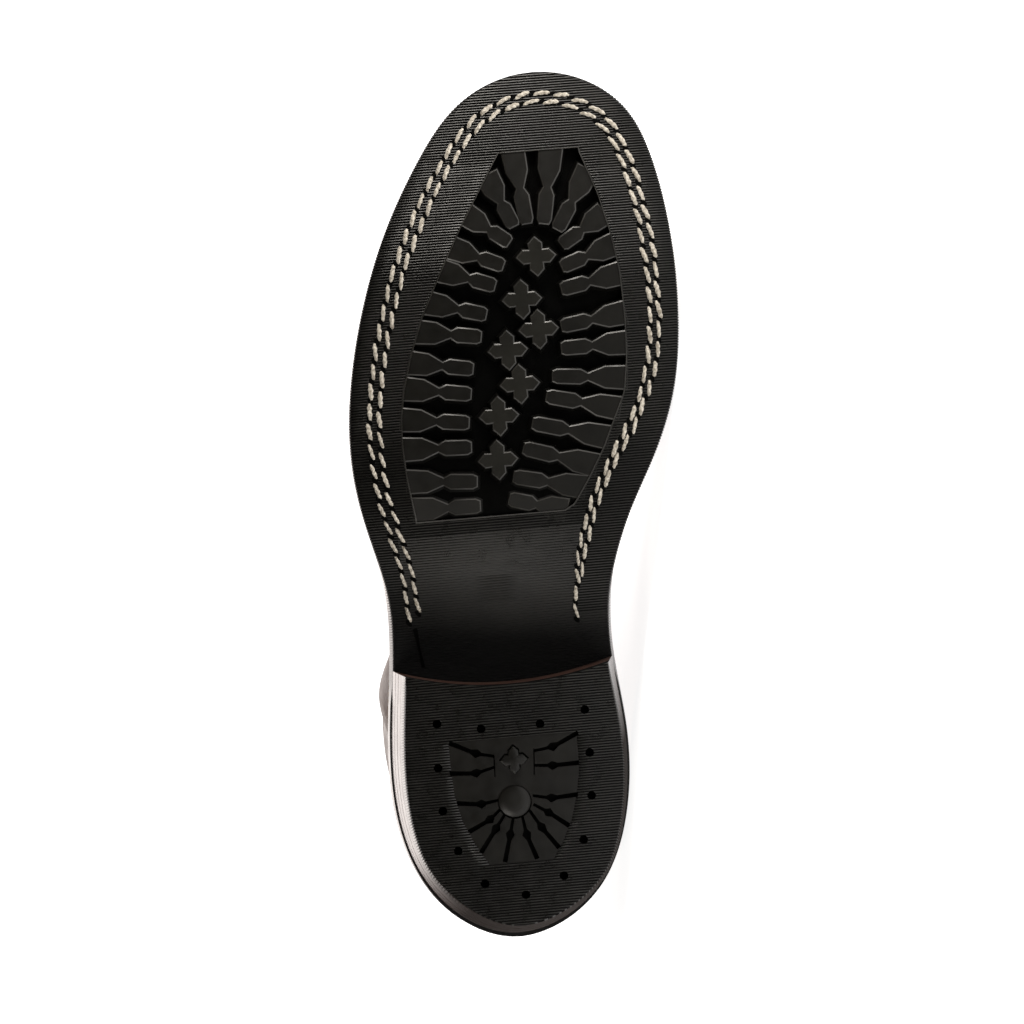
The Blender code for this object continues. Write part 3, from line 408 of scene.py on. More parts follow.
class Finish:
    """A Principled material and short ways to wire its textures."""

    def __init__(self, name, roughness=0.5, metallic=0.0, coat=0.0, coat_roughness=0.2, sheen=0.0):
        self.material = bpy.data.materials.new(name)
        self.material.use_nodes = True
        self.tree = self.material.node_tree
        self.shader = self.tree.nodes["Principled BSDF"]
        self.shader.inputs["Roughness"].default_value = roughness
        self.shader.inputs["Metallic"].default_value = metallic
        self.shader.inputs["Coat Weight"].default_value = coat
        self.shader.inputs["Coat Roughness"].default_value = coat_roughness
        self.shader.inputs["Sheen Weight"].default_value = sheen
        self.place = self.add("ShaderNodeTexCoord").outputs["Object"]

    def add(self, kind, **values):
        """A new node; each value is one of its properties, or else one of its sockets."""
        node = self.tree.nodes.new(kind)
        for key, value in values.items():
            if hasattr(node, key):
                setattr(node, key, value)
            else:
                node.inputs[key.replace("_", " ")].default_value = value
        return node

    def join(self, output, target):
        self.tree.links.new(output, target)

    def noise(self, scale, detail=4.0, stretch=None):
        node = self.add("ShaderNodeTexNoise", Scale=scale, Detail=detail)
        self.join(self.stretched(stretch), node.inputs["Vector"])
        return node.outputs["Fac"]

    def cells(self, scale):
        node = self.add("ShaderNodeTexVoronoi", Scale=scale)
        self.join(self.place, node.inputs["Vector"])
        return node.outputs["Distance"]

    def along(self, direction):
        """How far a spot lies along a direction, in metres."""
        node = self.add("ShaderNodeVectorMath", operation="DOT_PRODUCT")
        self.join(self.place, node.inputs[0])
        node.inputs[1].default_value = direction
        return node.outputs["Value"]

    def stretched(self, stretch):
        if stretch is None:
            return self.place
        node = self.add("ShaderNodeMapping")
        node.inputs["Scale"].default_value = stretch
        self.join(self.place, node.inputs["Vector"])
        return node.outputs["Vector"]

    def ramp(self, factor, low, high, start=0.35, stop=0.65):
        """Blends two values or two colours as a texture rises from start to stop."""
        span = self.add("ShaderNodeMapRange", From_Min=start, From_Max=stop)
        self.join(factor, span.inputs["Value"])
        if np.ndim(low) == 0:
            span.inputs["To Min"].default_value = low
            span.inputs["To Max"].default_value = high
            return span.outputs["Result"]
        return self.mixed(span.outputs["Result"], low, high)

    def mixed(self, factor, low, high):
        """Blends two colours, each a plain value or the output of a node."""
        mix = self.add("ShaderNodeMix", data_type="RGBA")
        self.join(factor, mix.inputs["Factor"])
        for socket, colour in ((mix.inputs[6], low), (mix.inputs[7], high)):
            if isinstance(colour, bpy.types.NodeSocket):
                self.join(colour, socket)
            else:
                socket.default_value = (*colour, 1.0)
        return mix.outputs[2]

    def most(self, first, second):
        """The greater of two values."""
        node = self.add("ShaderNodeMath", operation="MAXIMUM")
        self.join(first, node.inputs[0])
        self.join(second, node.inputs[1])
        return node.outputs["Value"]

    def colour(self, output):
        self.join(output, self.shader.inputs["Base Color"])

    def rough(self, output):
        self.join(output, self.shader.inputs["Roughness"])

    def bump(self, height, depth, strength=1.0):
        """Adds a bump of a depth in metres on top of earlier ones."""
        node = self.add("ShaderNodeBump", Strength=strength, Distance=depth)
        self.join(height, node.inputs["Height"])
        normal = self.shader.inputs["Normal"]
        if normal.links:
            self.join(normal.links[0].from_socket, node.inputs["Normal"])
        self.join(node.outputs["Normal"], normal)


print("materials of the packed boot: %d" % len(bpy.data.materials))

# %% [markdown]
# Moulded rubber is nearly black with a dull shine. Freshly moulded faces, such as the lug tops,
# are a touch greyer than the buffed ribs. The floor between lugs, the gaps between ribs and holes
# are painted near black as painted shade, and so is the arch just ahead of the heel, which is dull
# too. Lug bevels and the panel's rim are a lighter, shinier grey. All finishes share one recipe.

# %% Rubber finishes
ARCH_PAINTED_SHADE = (0.0008, 0.0008, 0.0007)
# Stretches along the boot, in metres of the laid frame, where the arch's painted shade and its dullness end.
TOEWARDS = (1.0, 0.0, 0.0)
ARCH_SHADE_FADE = (-0.054, -0.026)
DULL_FADE = (-0.046, -0.016)


def rubber(name, dark, light, rough_low, rough_high, shine, painted_shade_and_dull_arch=False):
    finish = Finish(name)
    finish.shader.inputs["Specular IOR Level"].default_value = shine
    shade = finish.ramp(finish.noise(90.0), dark, light)
    rough = finish.ramp(finish.noise(240.0), rough_low, rough_high)
    if painted_shade_and_dull_arch:
        # The arch just ahead of the heel's breast, where the heel shades it, is painted black as painted
        # shade and made dull.
        along = finish.along(TOEWARDS)
        shade = finish.mixed(finish.ramp(along, 0.0, 1.0, *ARCH_SHADE_FADE), ARCH_PAINTED_SHADE, shade)
        rough = finish.most(rough, finish.ramp(along, 1.0, 0.2, *DULL_FADE))
    finish.colour(shade)
    finish.rough(rough)
    return finish.material


RIB_SHADES = ((0.0045, 0.0042, 0.0033), (0.0085, 0.0079, 0.0062))
SOLE_RUBBER = rubber("sole_rubber", *RIB_SHADES, 0.26, 0.38, 0.36, painted_shade_and_dull_arch=True)
HEEL_RUBBER = rubber("heel_rubber", *RIB_SHADES, 0.26, 0.38, 0.56)
LUG_RUBBER = rubber("lug_rubber", (0.0042, 0.0039, 0.0030), (0.0066, 0.0061, 0.0048), 0.38, 0.50, 0.14)
CROSS_RUBBER = rubber("cross_rubber", (0.0078, 0.0074, 0.0056), (0.0110, 0.0104, 0.0080), 0.44, 0.56, 0.14)
# Gaps between ribs and the walls of lugs are painted dark as painted shade.
GAP_PAINTED_SHADE = rubber("gap_painted_shade", (0.0018, 0.0017, 0.0014), (0.0028, 0.0026, 0.0021), 0.50, 0.62, 0.10)
# The floor of the lug panel is painted near black as painted shade.
PANEL_FLOOR_SHADE = rubber("panel_floor_painted_shade", (0.0005, 0.0005, 0.0004), (0.0010, 0.0010, 0.0008), 0.70, 0.85, 0.03)
# Lug bevels and the panel's rim are a lighter, shinier grey.
GREY_EDGE_RUBBER = rubber("grey_edge_rubber", (0.0130, 0.0122, 0.0102), (0.0240, 0.0225, 0.0190), 0.30, 0.42, 0.42)
PANEL_RUBBER = rubber("panel_rubber", (0.0045, 0.0042, 0.0035), (0.0075, 0.0070, 0.0058), 0.30, 0.42, 0.20)
# Holes, cuts and pits are painted black as painted shade.
HOLE_PAINTED_SHADE = rubber("hole_painted_shade", (0.0008, 0.0008, 0.0007), (0.0012, 0.0012, 0.0010), 0.80, 0.90, 0.05)
print("materials with rubber: %d" % len(bpy.data.materials))

# %% [markdown]
# Sole leather is cut through its layers, sanded, inked dark brown and waxed, so its edge is
# smooth, glossy and faintly banded. The bands run along the sole, so the noise is stretched flat.
# The back and inner side of the heel are scuffed dull, so the wax fades out there, and the colour there is
# painted darker as painted shade.

# %% Sole leather finishes
EDGE_PAINTED_SHADE = (0.013, 0.008, 0.006)
# The wax fades, and painted shade takes its place, over this stretch, in metres, along a direction towards
# the toe and the outer side.
WAX_SIDE = (0.6, 0.0, 0.8)
WAX_FADE = (-0.042, -0.014)


def edge_leather(name, dark, light, rough_low, rough_high, coat):
    finish = Finish(name, coat_roughness=0.22)
    waxed = finish.along(WAX_SIDE)
    bands = finish.noise(900.0, 3.0, stretch=(0.06, 1.0, 0.06))
    clean = finish.ramp(bands, dark, light, 0.3, 0.7)
    # Where the wax fades, the colour is painted darker as painted shade.
    finish.colour(finish.mixed(finish.ramp(waxed, 0.0, 1.0, *WAX_FADE), EDGE_PAINTED_SHADE, clean))
    smooth = finish.ramp(finish.noise(160.0), rough_low, rough_high)
    finish.rough(finish.most(smooth, finish.ramp(waxed, 0.9, 0.2, *WAX_FADE)))
    finish.join(finish.ramp(waxed, 0.0, coat, *WAX_FADE), finish.shader.inputs["Coat Weight"])
    finish.shader.inputs["Specular IOR Level"].default_value = 0.10
    return finish.material


STACK_LEATHER = edge_leather("heel_stack", (0.040, 0.019, 0.014), (0.075, 0.036, 0.028), 0.32, 0.46, 1.0)
BREAST_LEATHER = edge_leather("heel_breast", (0.028, 0.014, 0.010), (0.048, 0.024, 0.018), 0.60, 0.75, 0.0)
MIDSOLE_LEATHER = edge_leather("midsole_edge", (0.045, 0.023, 0.016), (0.080, 0.041, 0.030), 0.28, 0.42, 0.6)
WELT_LEATHER = edge_leather("welt_edge", (0.050, 0.026, 0.018), (0.085, 0.046, 0.032), 0.32, 0.48, 0.4)
TRIMMED_EDGE = edge_leather("trimmed_edge", (0.016, 0.010, 0.008), (0.030, 0.018, 0.015), 0.28, 0.42, 1.0)
print("materials with sole leather: %d" % len(bpy.data.materials))

# %% [markdown]
# Upper leather has a grain of small rounded cells with finer pores between them, a slow drift of
# colour where the dye took unevenly, and scuffs that show lighter. The lining is raw and pale.

# %% Upper leather finishes


def upper_leather():
    finish = Finish("upper_leather", coat=0.06, coat_roughness=0.30)
    finish.shader.inputs["Specular IOR Level"].default_value = 0.36
    drift = finish.ramp(finish.noise(22.0, 3.0), (0.046, 0.021, 0.013), (0.074, 0.036, 0.023))
    scuffs = finish.ramp(finish.noise(75.0, 8.0), 0.0, 0.55, 0.62, 0.80)
    finish.colour(finish.mixed(scuffs, drift, (0.120, 0.066, 0.045)))
    finish.rough(finish.ramp(finish.noise(140.0, 6.0), 0.34, 0.50))
    finish.bump(finish.cells(620.0), 0.00016, 0.55)
    finish.bump(finish.noise(2200.0, 4.0), 0.00006, 0.5)
    return finish.material


def lining_leather():
    finish = Finish("lining_leather", sheen=0.15)
    finish.colour(finish.ramp(finish.noise(60.0, 5.0), (0.250, 0.150, 0.085), (0.360, 0.235, 0.145)))
    finish.rough(finish.ramp(finish.noise(300.0), 0.55, 0.75))
    finish.bump(finish.noise(1500.0, 5.0), 0.00010, 0.6)
    return finish.material


UPPER_LEATHER = upper_leather()
LINING_LEATHER = lining_leather()
print("materials with upper leather: %d" % len(bpy.data.materials))

# %% [markdown]
# Thread and lace are spun fibre: a noise as fine as the strands sets both their colour and a bump.
# Their sheen is the soft light that loose fibres catch. The eyelets are brass gone dull with age.

# %% Thread, lace and metal finishes


def spun(name, dark, light, rough, scale, depth):
    finish = Finish(name, roughness=rough, sheen=0.2)
    strands = finish.noise(scale, 3.0)
    finish.colour(finish.ramp(strands, dark, light, 0.3, 0.7))
    finish.bump(strands, depth, 0.7)
    return finish.material


def aged_brass():
    finish = Finish("aged_brass", metallic=1.0)
    finish.colour(finish.ramp(finish.noise(500.0), (0.19, 0.12, 0.05), (0.42, 0.29, 0.13)))
    finish.rough(finish.ramp(finish.noise(900.0), 0.25, 0.50))
    return finish.material


SOLE_THREAD = spun("sole_thread", (0.210, 0.180, 0.135), (0.700, 0.650, 0.560), 0.70, 1100.0, 0.00012)
SEAM_THREAD = spun("seam_thread", (0.150, 0.095, 0.055), (0.280, 0.190, 0.115), 0.70, 1800.0, 0.00006)
LACE_WEAVE = spun("lace_weave", (0.030, 0.018, 0.012), (0.075, 0.045, 0.030), 0.80, 1600.0, 0.00008)
AGED_BRASS = aged_brass()
print("materials in all: %d" % len(bpy.data.materials))

# %% [markdown]
# The whole tread is ribbed across, about one rib to a millimetre, cut slightly aslant. Bump could
# fake it, but the ribs end in tiny teeth along the edge, so they are real. The trick is to choose
# the rings of the loft along the ribs: five rings make one rib, and each ring needs few points,
# because a rib is straight. A skewed coordinate, the run, numbers the ribs: x minus slant times y.

# %% Rib rows
RIB = 0.95
RIB_DEPTH = 0.50
RIB_SLANT = 0.086
# No ring lies nearer than this to the sole's two ends, where the rings shrink to a point.
END_ROOM = 0.12
RIB_WAVE = table("phase sunk", (0.00, 1.0), (0.10, 0.0), (0.34, 0.0), (0.50, 0.17), (0.60, 1.0))


def to_run(points):
    """Plan points as run and y."""
    points = np.asarray(points, float)
    return np.column_stack((points[:, 0] - RIB_SLANT * points[:, 1], points[:, 1]))


def by_run(line):
    """The y of a line, as a function of the run."""
    return lambda run: np.interp(run, line[:, 0], line[:, 1])


def sides_by_run(points):
    """Lateral and medial edge of an outline as functions of the run, and the run's ends."""
    ring = to_run(points)
    ring = np.roll(ring, -ring[:, 0].argmin(), axis=0)
    far = ring[:, 0].argmax()
    first = ring[: far + 1]
    second = np.concatenate((ring[far:], ring[:1]))[::-1]
    if first[:, 1].mean() > second[:, 1].mean():
        first, second = second, first
    return by_run(first), by_run(second), ring[0, 0], ring[far, 0]


def rib_rows(start, stop):
    """Runs of the rings and how far each is sunk, five to a rib."""
    ribs = np.arange(math.floor(start / RIB), math.ceil(stop / RIB) + 1)
    runs = ((ribs[:, None] + RIB_WAVE["phase"]) * RIB).ravel()
    sunk = np.tile(RIB_WAVE["sunk"], len(ribs))
    inside = (runs > start + END_ROOM) & (runs < stop - END_ROOM)
    runs = np.concatenate(((start,), runs[inside], (stop,)))
    return runs, np.concatenate(((1.0,), sunk[inside], (1.0,)))


print("ribs on the sole: %d" % (np.ptp(SOLE_EDGE[:, 0]) / RIB))

# %% [markdown]
# The lug panel is sunk into the tread. A table gives its two long edges, and its floor rises
# towards the shank. Rings of the loft come in close pairs at its ends, so that the step is steep.

# %% Lug panel
PANEL_RUN = (151.0, 278.5)
PANEL_DEPTH = 4.0
PANEL_SHALLOW = 1.3
PANEL = table(
    "x lateral medial",
    (149.2, -33.2, 14.0),
    (155.0, -34.6, 22.3),
    (164.0, -36.6, 27.2),
    (175.0, -38.2, 32.4),
    (184.0, -38.6, 35.6),
    (194.0, -37.8, 39.4),
    (206.0, -35.4, 40.2),
    (220.0, -31.4, 39.6),
    (236.0, -24.8, 37.8),
    (250.0, -18.6, 34.6),
    (264.0, -11.6, 30.3),
    (279.5, -3.8, 23.8),
)
# From the end at the shank: where the floor begins to fall, and the length of its fall.
FALL_START, FALL_LENGTH = 4.0, 26.0
NUDGE = 0.01


def panel_sides(rows):
    """Edges of a lug panel as functions of the run."""
    return [by_run(to_run(np.column_stack((rows["x"], rows[side])))) for side in ("lateral", "medial")]


def panel_floor(run):
    """Depth of the panel's floor."""
    fall = ease((run - PANEL_RUN[0] - FALL_START) / FALL_LENGTH)
    return PANEL_SHALLOW + (PANEL_DEPTH - PANEL_SHALLOW) * fall


def with_panel_ends(runs, sunk, ends):
    """Adds a pair of rings at each end of a panel, just outside and just inside."""
    extra = np.array([end + nudge for end in ends for nudge in (-NUDGE, NUDGE)])
    every = np.concatenate((runs, extra))
    order = np.argsort(every)
    depth = np.concatenate((sunk, np.interp(extra, runs, sunk)))
    return every[order], depth[order]


print("panel floor at its ends: %.1f and %.1f mm deep" % tuple(panel_floor(run) for run in PANEL_RUN))

# %% [markdown]
# A ring of the outsole goes round the whole section: up one side, across the tread, down into the
# lug panel and out again, up the other side. Outside the panel the two panel corners simply fall
# on the tread, and welding removes them. At the sole's ends all points of a ring fall together.

# %% One ring of a ribbed tread
EDGE_BEVEL = 0.4
SHOULDER = 0.16
LIP = 0.35
BORDER_SHARE = 0.12
BORDER_POINTS = 7
FLOOR_POINTS = 10
SIDE_POINTS = 3
# The ribs' ends make teeth along the edge, which fade out towards the sole's ends.
TOOTH = 0.3
TEETH_FADE = 14.0


def ribbed_section(run, sunk, outlines, face, top, panel, floor_depth, rib_depth, trim):
    """One ring: side, border, panel floor, border and side, as x, y, z."""
    edges, outer, roof = outlines
    lateral, medial = float(edges[0](run)), float(edges[1](run))
    trim = min(trim, (medial - lateral) / 4)
    lateral, medial = lateral + trim, medial - trim
    border = BORDER_SHARE * (medial - lateral)
    lip = min(LIP, border / 2)
    panel_lateral = max(float(panel[0](run)), lateral + border)
    panel_medial = min(float(panel[1](run)), medial - border)
    across = np.concatenate((
        np.append(np.linspace(lateral, panel_lateral - lip, BORDER_POINTS - 1), panel_lateral),
        np.linspace(panel_lateral, panel_medial, FLOOR_POINTS),
        np.append(panel_medial, np.linspace(panel_medial + lip, medial, BORDER_POINTS - 1)),
    ))
    x = run + RIB_SLANT * across
    lift = sunk * rib_depth(run, across)
    if floor_depth is not None:
        lift[BORDER_POINTS : BORDER_POINTS + FLOOR_POINTS] = floor_depth
        lift[[BORDER_POINTS - 1, BORDER_POINTS + FLOOR_POINTS]] += min(LIP, floor_depth)
    bottom = np.column_stack((x, across, face(x) + lift))
    share = (run - edges[2]) / (edges[3] - edges[2])
    teeth = sunk * float(ease(min(run - edges[2], edges[3] - run) / TEETH_FADE))
    walls = []
    for side, inward in ((0, 1.0), (1, -1.0)):
        ends = []
        for outline, shift in ((roof, 0.0), (outer, trim)):
            at = outline[2] + share * (outline[3] - outline[2])
            y = float(outline[side](at)) + inward * shift
            ends.append((at + RIB_SLANT * y, y))
        (roof_x, roof_y), (low_x, low_y) = ends
        high = np.array((roof_x, roof_y, float(top(roof_x))))
        low = np.array((low_x, low_y, float(face(low_x)) + EDGE_BEVEL))
        rib = teeth * float(rib_depth(run, low_y))
        tooth = np.array((0.0, inward * TOOTH * rib / RIB_DEPTH, rib))
        walls.append((high, low + (high - low) * SHOULDER, low + tooth))
    return np.concatenate((walls[0], bottom, walls[1][::-1]))


def ribbed_rings(outlines, face, top, panel, ends, floor, rib_depth, trim):
    """Runs of the rings, how far each is sunk, and the rings themselves."""
    runs, sunk = with_panel_ends(*rib_rows(*outlines[0][2:]), ends)
    rings = []
    for run, depth in zip(runs, sunk):
        floor_depth = float(floor(run)) if ends[0] < run < ends[1] else None
        shape = (face, top, panel, floor_depth, rib_depth, float(trim(run)))
        rings.append(ribbed_section(run, depth, outlines, *shape))
    return runs, sunk, np.array(rings)


print("points in a ring: %d" % (2 * (SIDE_POINTS + BORDER_POINTS) + FLOOR_POINTS))

# %% [markdown]
# Ribs, gaps between ribs, panel floor and trimmed edge differ in finish; gaps and panel floor are
# painted dark as painted shade. A mesh keeps a number for each face that says which of its
# materials the face has, so one piece can carry all four.

# %% Outsole
RIBS, PANEL_BED, GAP_SHADE, TRIMMED = range(4)
WAIST_TRIM = 1.2
# Gaps are painted dark as painted shade from this run on, and along the border from nearer the heel.
GAPS_FROM = 146.0
GAPS_AHEAD = 32.0
GAP_DEEP = 0.9


def waist_trim(run):
    """How far the edge is trimmed in towards the ground: most at the waist, less under the heel."""
    return WAIST_TRIM * (ease((145.0 - run) / 30.0) - 0.5 * ease((97.0 - run) / 12.0))


def sole_rib(run, across):
    """Depth of the ribs: they fade before the heel, and earlier in the middle of the shank."""
    side = 0.10 + 0.90 * ease((run - 94.0) / 24.0)
    middle = 0.10 + 0.20 * ease((run - 100.0) / 20.0) + 0.70 * ease((run - 136.0) / 18.0)
    worn = np.exp(-(((np.asarray(across) + 4.0) / 24.0) ** 2))
    return RIB_DEPTH * (side + (middle - side) * worn)


def both_sides(columns, size):
    """Columns of faces on one side of a ring, and the same ones on the other side."""
    columns = np.asarray(columns)
    return np.concatenate((columns, size - 2 - columns))


def ribbed_faces(runs, sunk, size, ends, gaps_from):
    """Number of the finish of each face of a ribbed loft."""
    finish = np.full((len(runs) - 1, size), RIBS)
    middle = (runs[:-1] + runs[1:]) / 2
    gaps = np.maximum(sunk[:-1], sunk[1:]) > GAP_DEEP
    finish[gaps & (middle > gaps_from)] = GAP_SHADE
    border = both_sides(SIDE_POINTS + np.arange(3), size)
    finish[np.ix_(gaps & (middle > gaps_from - GAPS_AHEAD), border)] = GAP_SHADE
    rows = (middle > ends[0]) & (middle < ends[1])
    first = SIDE_POINTS + BORDER_POINTS
    finish[np.ix_(rows, np.arange(first, first + FLOOR_POINTS - 1))] = PANEL_BED
    finish[:, both_sides((0, 1), size)] = TRIMMED
    return finish.ravel()


def make_outsole():
    plans = (inset(SOLE_EDGE, EDGE_BEVEL), SOLE_EDGE, SOLE_EDGE)
    outlines = [sides_by_run(plan) for plan in plans]
    runs, sunk, rings = ribbed_rings(
        outlines, tread, outsole_top, panel_sides(PANEL), PANEL_RUN, panel_floor, sole_rib, waist_trim
    )
    points, faces = loft(rings)
    finish = ribbed_faces(runs, sunk, rings.shape[1], PANEL_RUN, GAPS_FROM)
    finishes = (SOLE_RUBBER, PANEL_FLOOR_SHADE, GAP_PAINTED_SHADE, TRIMMED_EDGE)
    make_piece("outsole_ribbed", points, faces, finishes, "rubber", ("outsole",), finish)


make_outsole()

# %% [markdown]
# The lugs are shaped like bottles: a broad body at the panel's edge, a pinched neck and a six-sided
# head. Down the middle run small crosses with pointed arms. Each is a block with drafted walls, as
# it must leave the mould, and a narrow bevel that catches the light along its toe-facing edge.

# %% Lug tables
LUG_DROP = 0.35
LUG_DRAFT = 1.1
LUG_BEVEL = 0.45
BEVEL_SLOPE = 0.6
LUG_ROOT = 0.4
LUGS = table(
    "out_x_lat out_y_lat in_x_lat in_y_lat out_x_med out_y_med in_x_med in_y_med",
    (278.8, 0.8, 252.7, 5.4, 279.9, 14.2, 252.7, 11.3),
    (269.8, -8.4, 251.7, 1.0, 272.0, 27.0, 250.6, 15.9),
    (255.9, -15.6, 246.0, -0.6, 256.6, 32.4, 245.3, 17.2),
    (244.3, -21.2, 237.9, -2.7, 245.7, 35.8, 237.6, 17.2),
    (236.2, -24.9, 230.9, -5.6, 235.5, 37.8, 229.8, 17.1),
    (224.9, -29.3, 220.8, -8.7, 221.8, 39.4, 216.9, 17.1),
    (214.8, -32.8, 213.1, -10.5, 211.3, 39.8, 209.2, 17.1),
    (204.0, -35.7, 201.9, -13.3, 199.1, 39.8, 199.5, 14.0),
    (194.9, -37.5, 193.1, -14.0, 188.3, 37.4, 192.5, 11.9),
    (184.1, -38.5, 183.1, -14.7, 178.2, 33.5, 183.1, 7.0),
    (173.7, -38.0, 174.6, -13.9, 168.4, 29.3, 174.4, 3.9),
    (162.5, -36.2, 162.6, -11.8, 160.7, 25.5, 164.4, 0.5),
    (152.7, -34.0, 154.1, -10.6, 152.6, 19.0, 156.6, -0.9),
)
LUG_SHAPE = table(
    "along half_width",
    (-0.04, 4.4),
    (0.28, 4.0),
    (0.51, 1.5),
    (0.61, 2.8),
    (0.93, 2.7),
    (1.00, 1.9),
)
CROSSES = table(
    "x y",
    (241.4, 8.5),
    (226.3, 3.5),
    (215.9, 9.4),
    (208.5, -1.4),
    (196.7, 2.8),
    (185.5, -4.5),
    (170.2, -4.8),
)
print("lugs: %d, crosses: %d" % (2 * len(LUGS["out_x_lat"]), len(CROSSES["x"])))

# %% Plans of lugs and crosses
CROSS_ARM = table("reach half_width", (2.5, 2.5), (4.7, 2.6), (7.2, 0.0))
CROSS_TURN = math.radians(5.0)
MITRE_LIMIT = 0.35


def shape_plan(points, shape):
    """Plan along a line of two or three points, with the half-widths of a shape table."""
    points = np.array(points, float).reshape(-1, 2)
    steps = len(points) - 1
    share = shape["along"] * steps
    part = np.clip(np.floor(share), 0, steps - 1).astype(int)
    spine = points[part] + (points[part + 1] - points[part]) * (share - part)[:, None]
    along = points[-1] - points[0]
    half = np.array((-along[1], along[0])) / np.linalg.norm(along) * shape["half_width"][:, None]
    return np.concatenate((spine + half, (spine - half)[::-1]))


def cross_plan(centre, size=1.0):
    """Cross with four pointed arms."""
    corners = []
    for arm in range(4):
        spoke = arm * math.pi / 2 - CROSS_TURN
        ahead = np.array((math.cos(spoke), math.sin(spoke)))
        aside = np.array((-math.sin(spoke), math.cos(spoke)))
        root, shoulder, tip = zip(CROSS_ARM["reach"], CROSS_ARM["half_width"])
        corners += [ahead * root[0] - aside * root[1], ahead * shoulder[0] - aside * shoulder[1]]
        corners += [ahead * tip[0], ahead * shoulder[0] + aside * shoulder[1]]
    return np.array(corners) * size + np.array(centre)


def grown(plan, distance):
    """A plan polygon moved outwards by a distance, with mitred corners."""
    after = unit(np.roll(plan, -1, axis=0) - plan)
    normal = np.column_stack((after[:, 1], -after[:, 0])) * turning(plan)
    before = np.roll(normal, 1, axis=0)
    mitre = (normal + before) / (1.0 + np.sum(normal * before, axis=1))[:, None].clip(MITRE_LIMIT)
    return plan + mitre * distance


def block(plan, levels):
    """A block over a plan: each level says how far the plan is grown and its height function."""
    return capped([at_height(grown(plan, growth), height) for growth, height in levels])


print("a cross has %d corners" % len(cross_plan((0.0, 0.0))))

# %% Lugs and crosses
LUG_TOP, GREY_EDGE, CROSS_TOP, LUG_WALL_SHADE = range(4)
LUG_LEVELS = (
    (LUG_DRAFT, lambda x: tread(x) + panel_floor(x) + LUG_ROOT),
    (0.0, lambda x: tread(x) + LUG_DROP + LUG_BEVEL * BEVEL_SLOPE),
    (-LUG_BEVEL, lambda x: tread(x) + LUG_DROP),
)
RIM = table("growth sunk", (0.30, 0.6), (0.20, 0.0), (-0.15, 0.0), (-0.25, 0.6), (0.30, 0.6))
RIM_POINTS = 64


def panel_rim():
    """The thin rounded rim round the lug panel, as a closed strip."""
    runs = np.linspace(*PANEL_RUN, RIM_POINTS)
    sides = [np.column_stack((runs + RIB_SLANT * side(runs), side(runs))) for side in panel_sides(PANEL)]
    plan = np.concatenate((sides[0], sides[1][::-1]))
    section = zip(*RIM.values())
    return loft([at_height(grown(plan, growth), tread) + (0.0, 0.0, sunk) for growth, sunk in section])


def make_lugs():
    plans = []
    for side in ("lat", "med"):
        ends = (LUGS[f"{end}_{axis}_{side}"] for end in ("out", "in") for axis in "xy")
        plans += [shape_plan(line, LUG_SHAPE) for line in zip(*ends)]
    tops = [LUG_TOP] * len(plans)
    plans += [cross_plan(centre) for centre in zip(*CROSSES.values())]
    tops += [CROSS_TOP] * (len(plans) - len(tops))
    finish = []
    for plan, top in zip(plans, tops):
        # Lug walls are painted dark as painted shade.
        finish += [LUG_WALL_SHADE] * len(plan) + [GREY_EDGE] * len(plan) + [LUG_WALL_SHADE, top]
    solids = [block(plan, LUG_LEVELS) for plan in plans]
    solids.append(panel_rim())
    finish += [GREY_EDGE] * len(solids[-1][1])
    points, faces = gather(solids)
    finishes = (LUG_RUBBER, GREY_EDGE_RUBBER, CROSS_RUBBER, GAP_PAINTED_SHADE)
    make_piece("outsole_lugs", points, faces, finishes, "rubber", (), finish, CRISP)


make_lugs()

# %% [markdown]
# The heel's top piece is ribbed like the sole and loft works again, but nail holes, the grooves of
# its little lug panel and the hollow breast are cuts. Cuts are what the Boolean modifier is for:
# the cutters are gathered in one mesh, taken away once, and thrown out.

# %% Heel tables
HEEL_SIDE_TAPER = 4.4
HEEL_BACK_TAPER = 7.0
HEEL_BACK_LENGTH = 32.0
HEEL_PANEL_RUN = (29.4, 73.4)
HEEL_PANEL_DEPTH = 0.30
GROOVE_DEPTH = 2.4
RING_DEPTH = 1.1
NAIL_RADIUS = 1.55
NAIL_DEPTH = 4.0
NAIL_SIDES = 14
HEEL_PANEL = table(
    "x lateral medial",
    (29.2, -8.0, 13.8),
    (36.0, -12.8, 17.6),
    (44.0, -17.2, 20.8),
    (53.0, -20.0, 22.7),
    (63.0, -21.4, 23.6),
    (73.6, -22.4, 22.7),
)
GROOVES = table(
    "out_x out_y mid_x mid_y in_x in_y",
    (71.4, -22.0, 67.6, -12.6, 66.7, -6.3),
    (60.7, -21.7, 60.7, -12.6, 62.9, -6.1),
    (50.3, -19.2, 49.9, -10.8, 51.5, -4.3),
    (40.3, -15.0, 44.5, -7.7, 49.2, -3.1),
    (33.0, -10.8, 41.4, -5.6, 47.0, -2.1),
    (29.7, -2.4, 39.2, -0.6, 45.9, 0.6),
    (30.8, 8.9, 39.2, 5.2, 45.9, 3.6),
    (34.6, 16.6, 41.7, 10.5, 47.8, 6.1),
    (42.3, 20.1, 47.0, 12.9, 49.9, 7.5),
    (53.3, 23.1, 52.0, 14.0, 52.9, 7.3),
    (64.4, 23.5, 63.4, 14.3, 63.5, 7.8),
    (74.9, 23.1, 69.9, 14.3, 68.6, 7.8),
)
GROOVE_SHAPE = table(
    "along half_width",
    (0.00, 0.85),
    (0.40, 0.75),
    (0.52, 1.60),
    (0.64, 0.60),
    (1.00, 0.50),
)
NICKS = table(
    "out_x out_y in_x in_y",
    (66.9, -6.3, 59.4, -5.9),
    (69.4, 7.7, 60.1, 7.8),
)
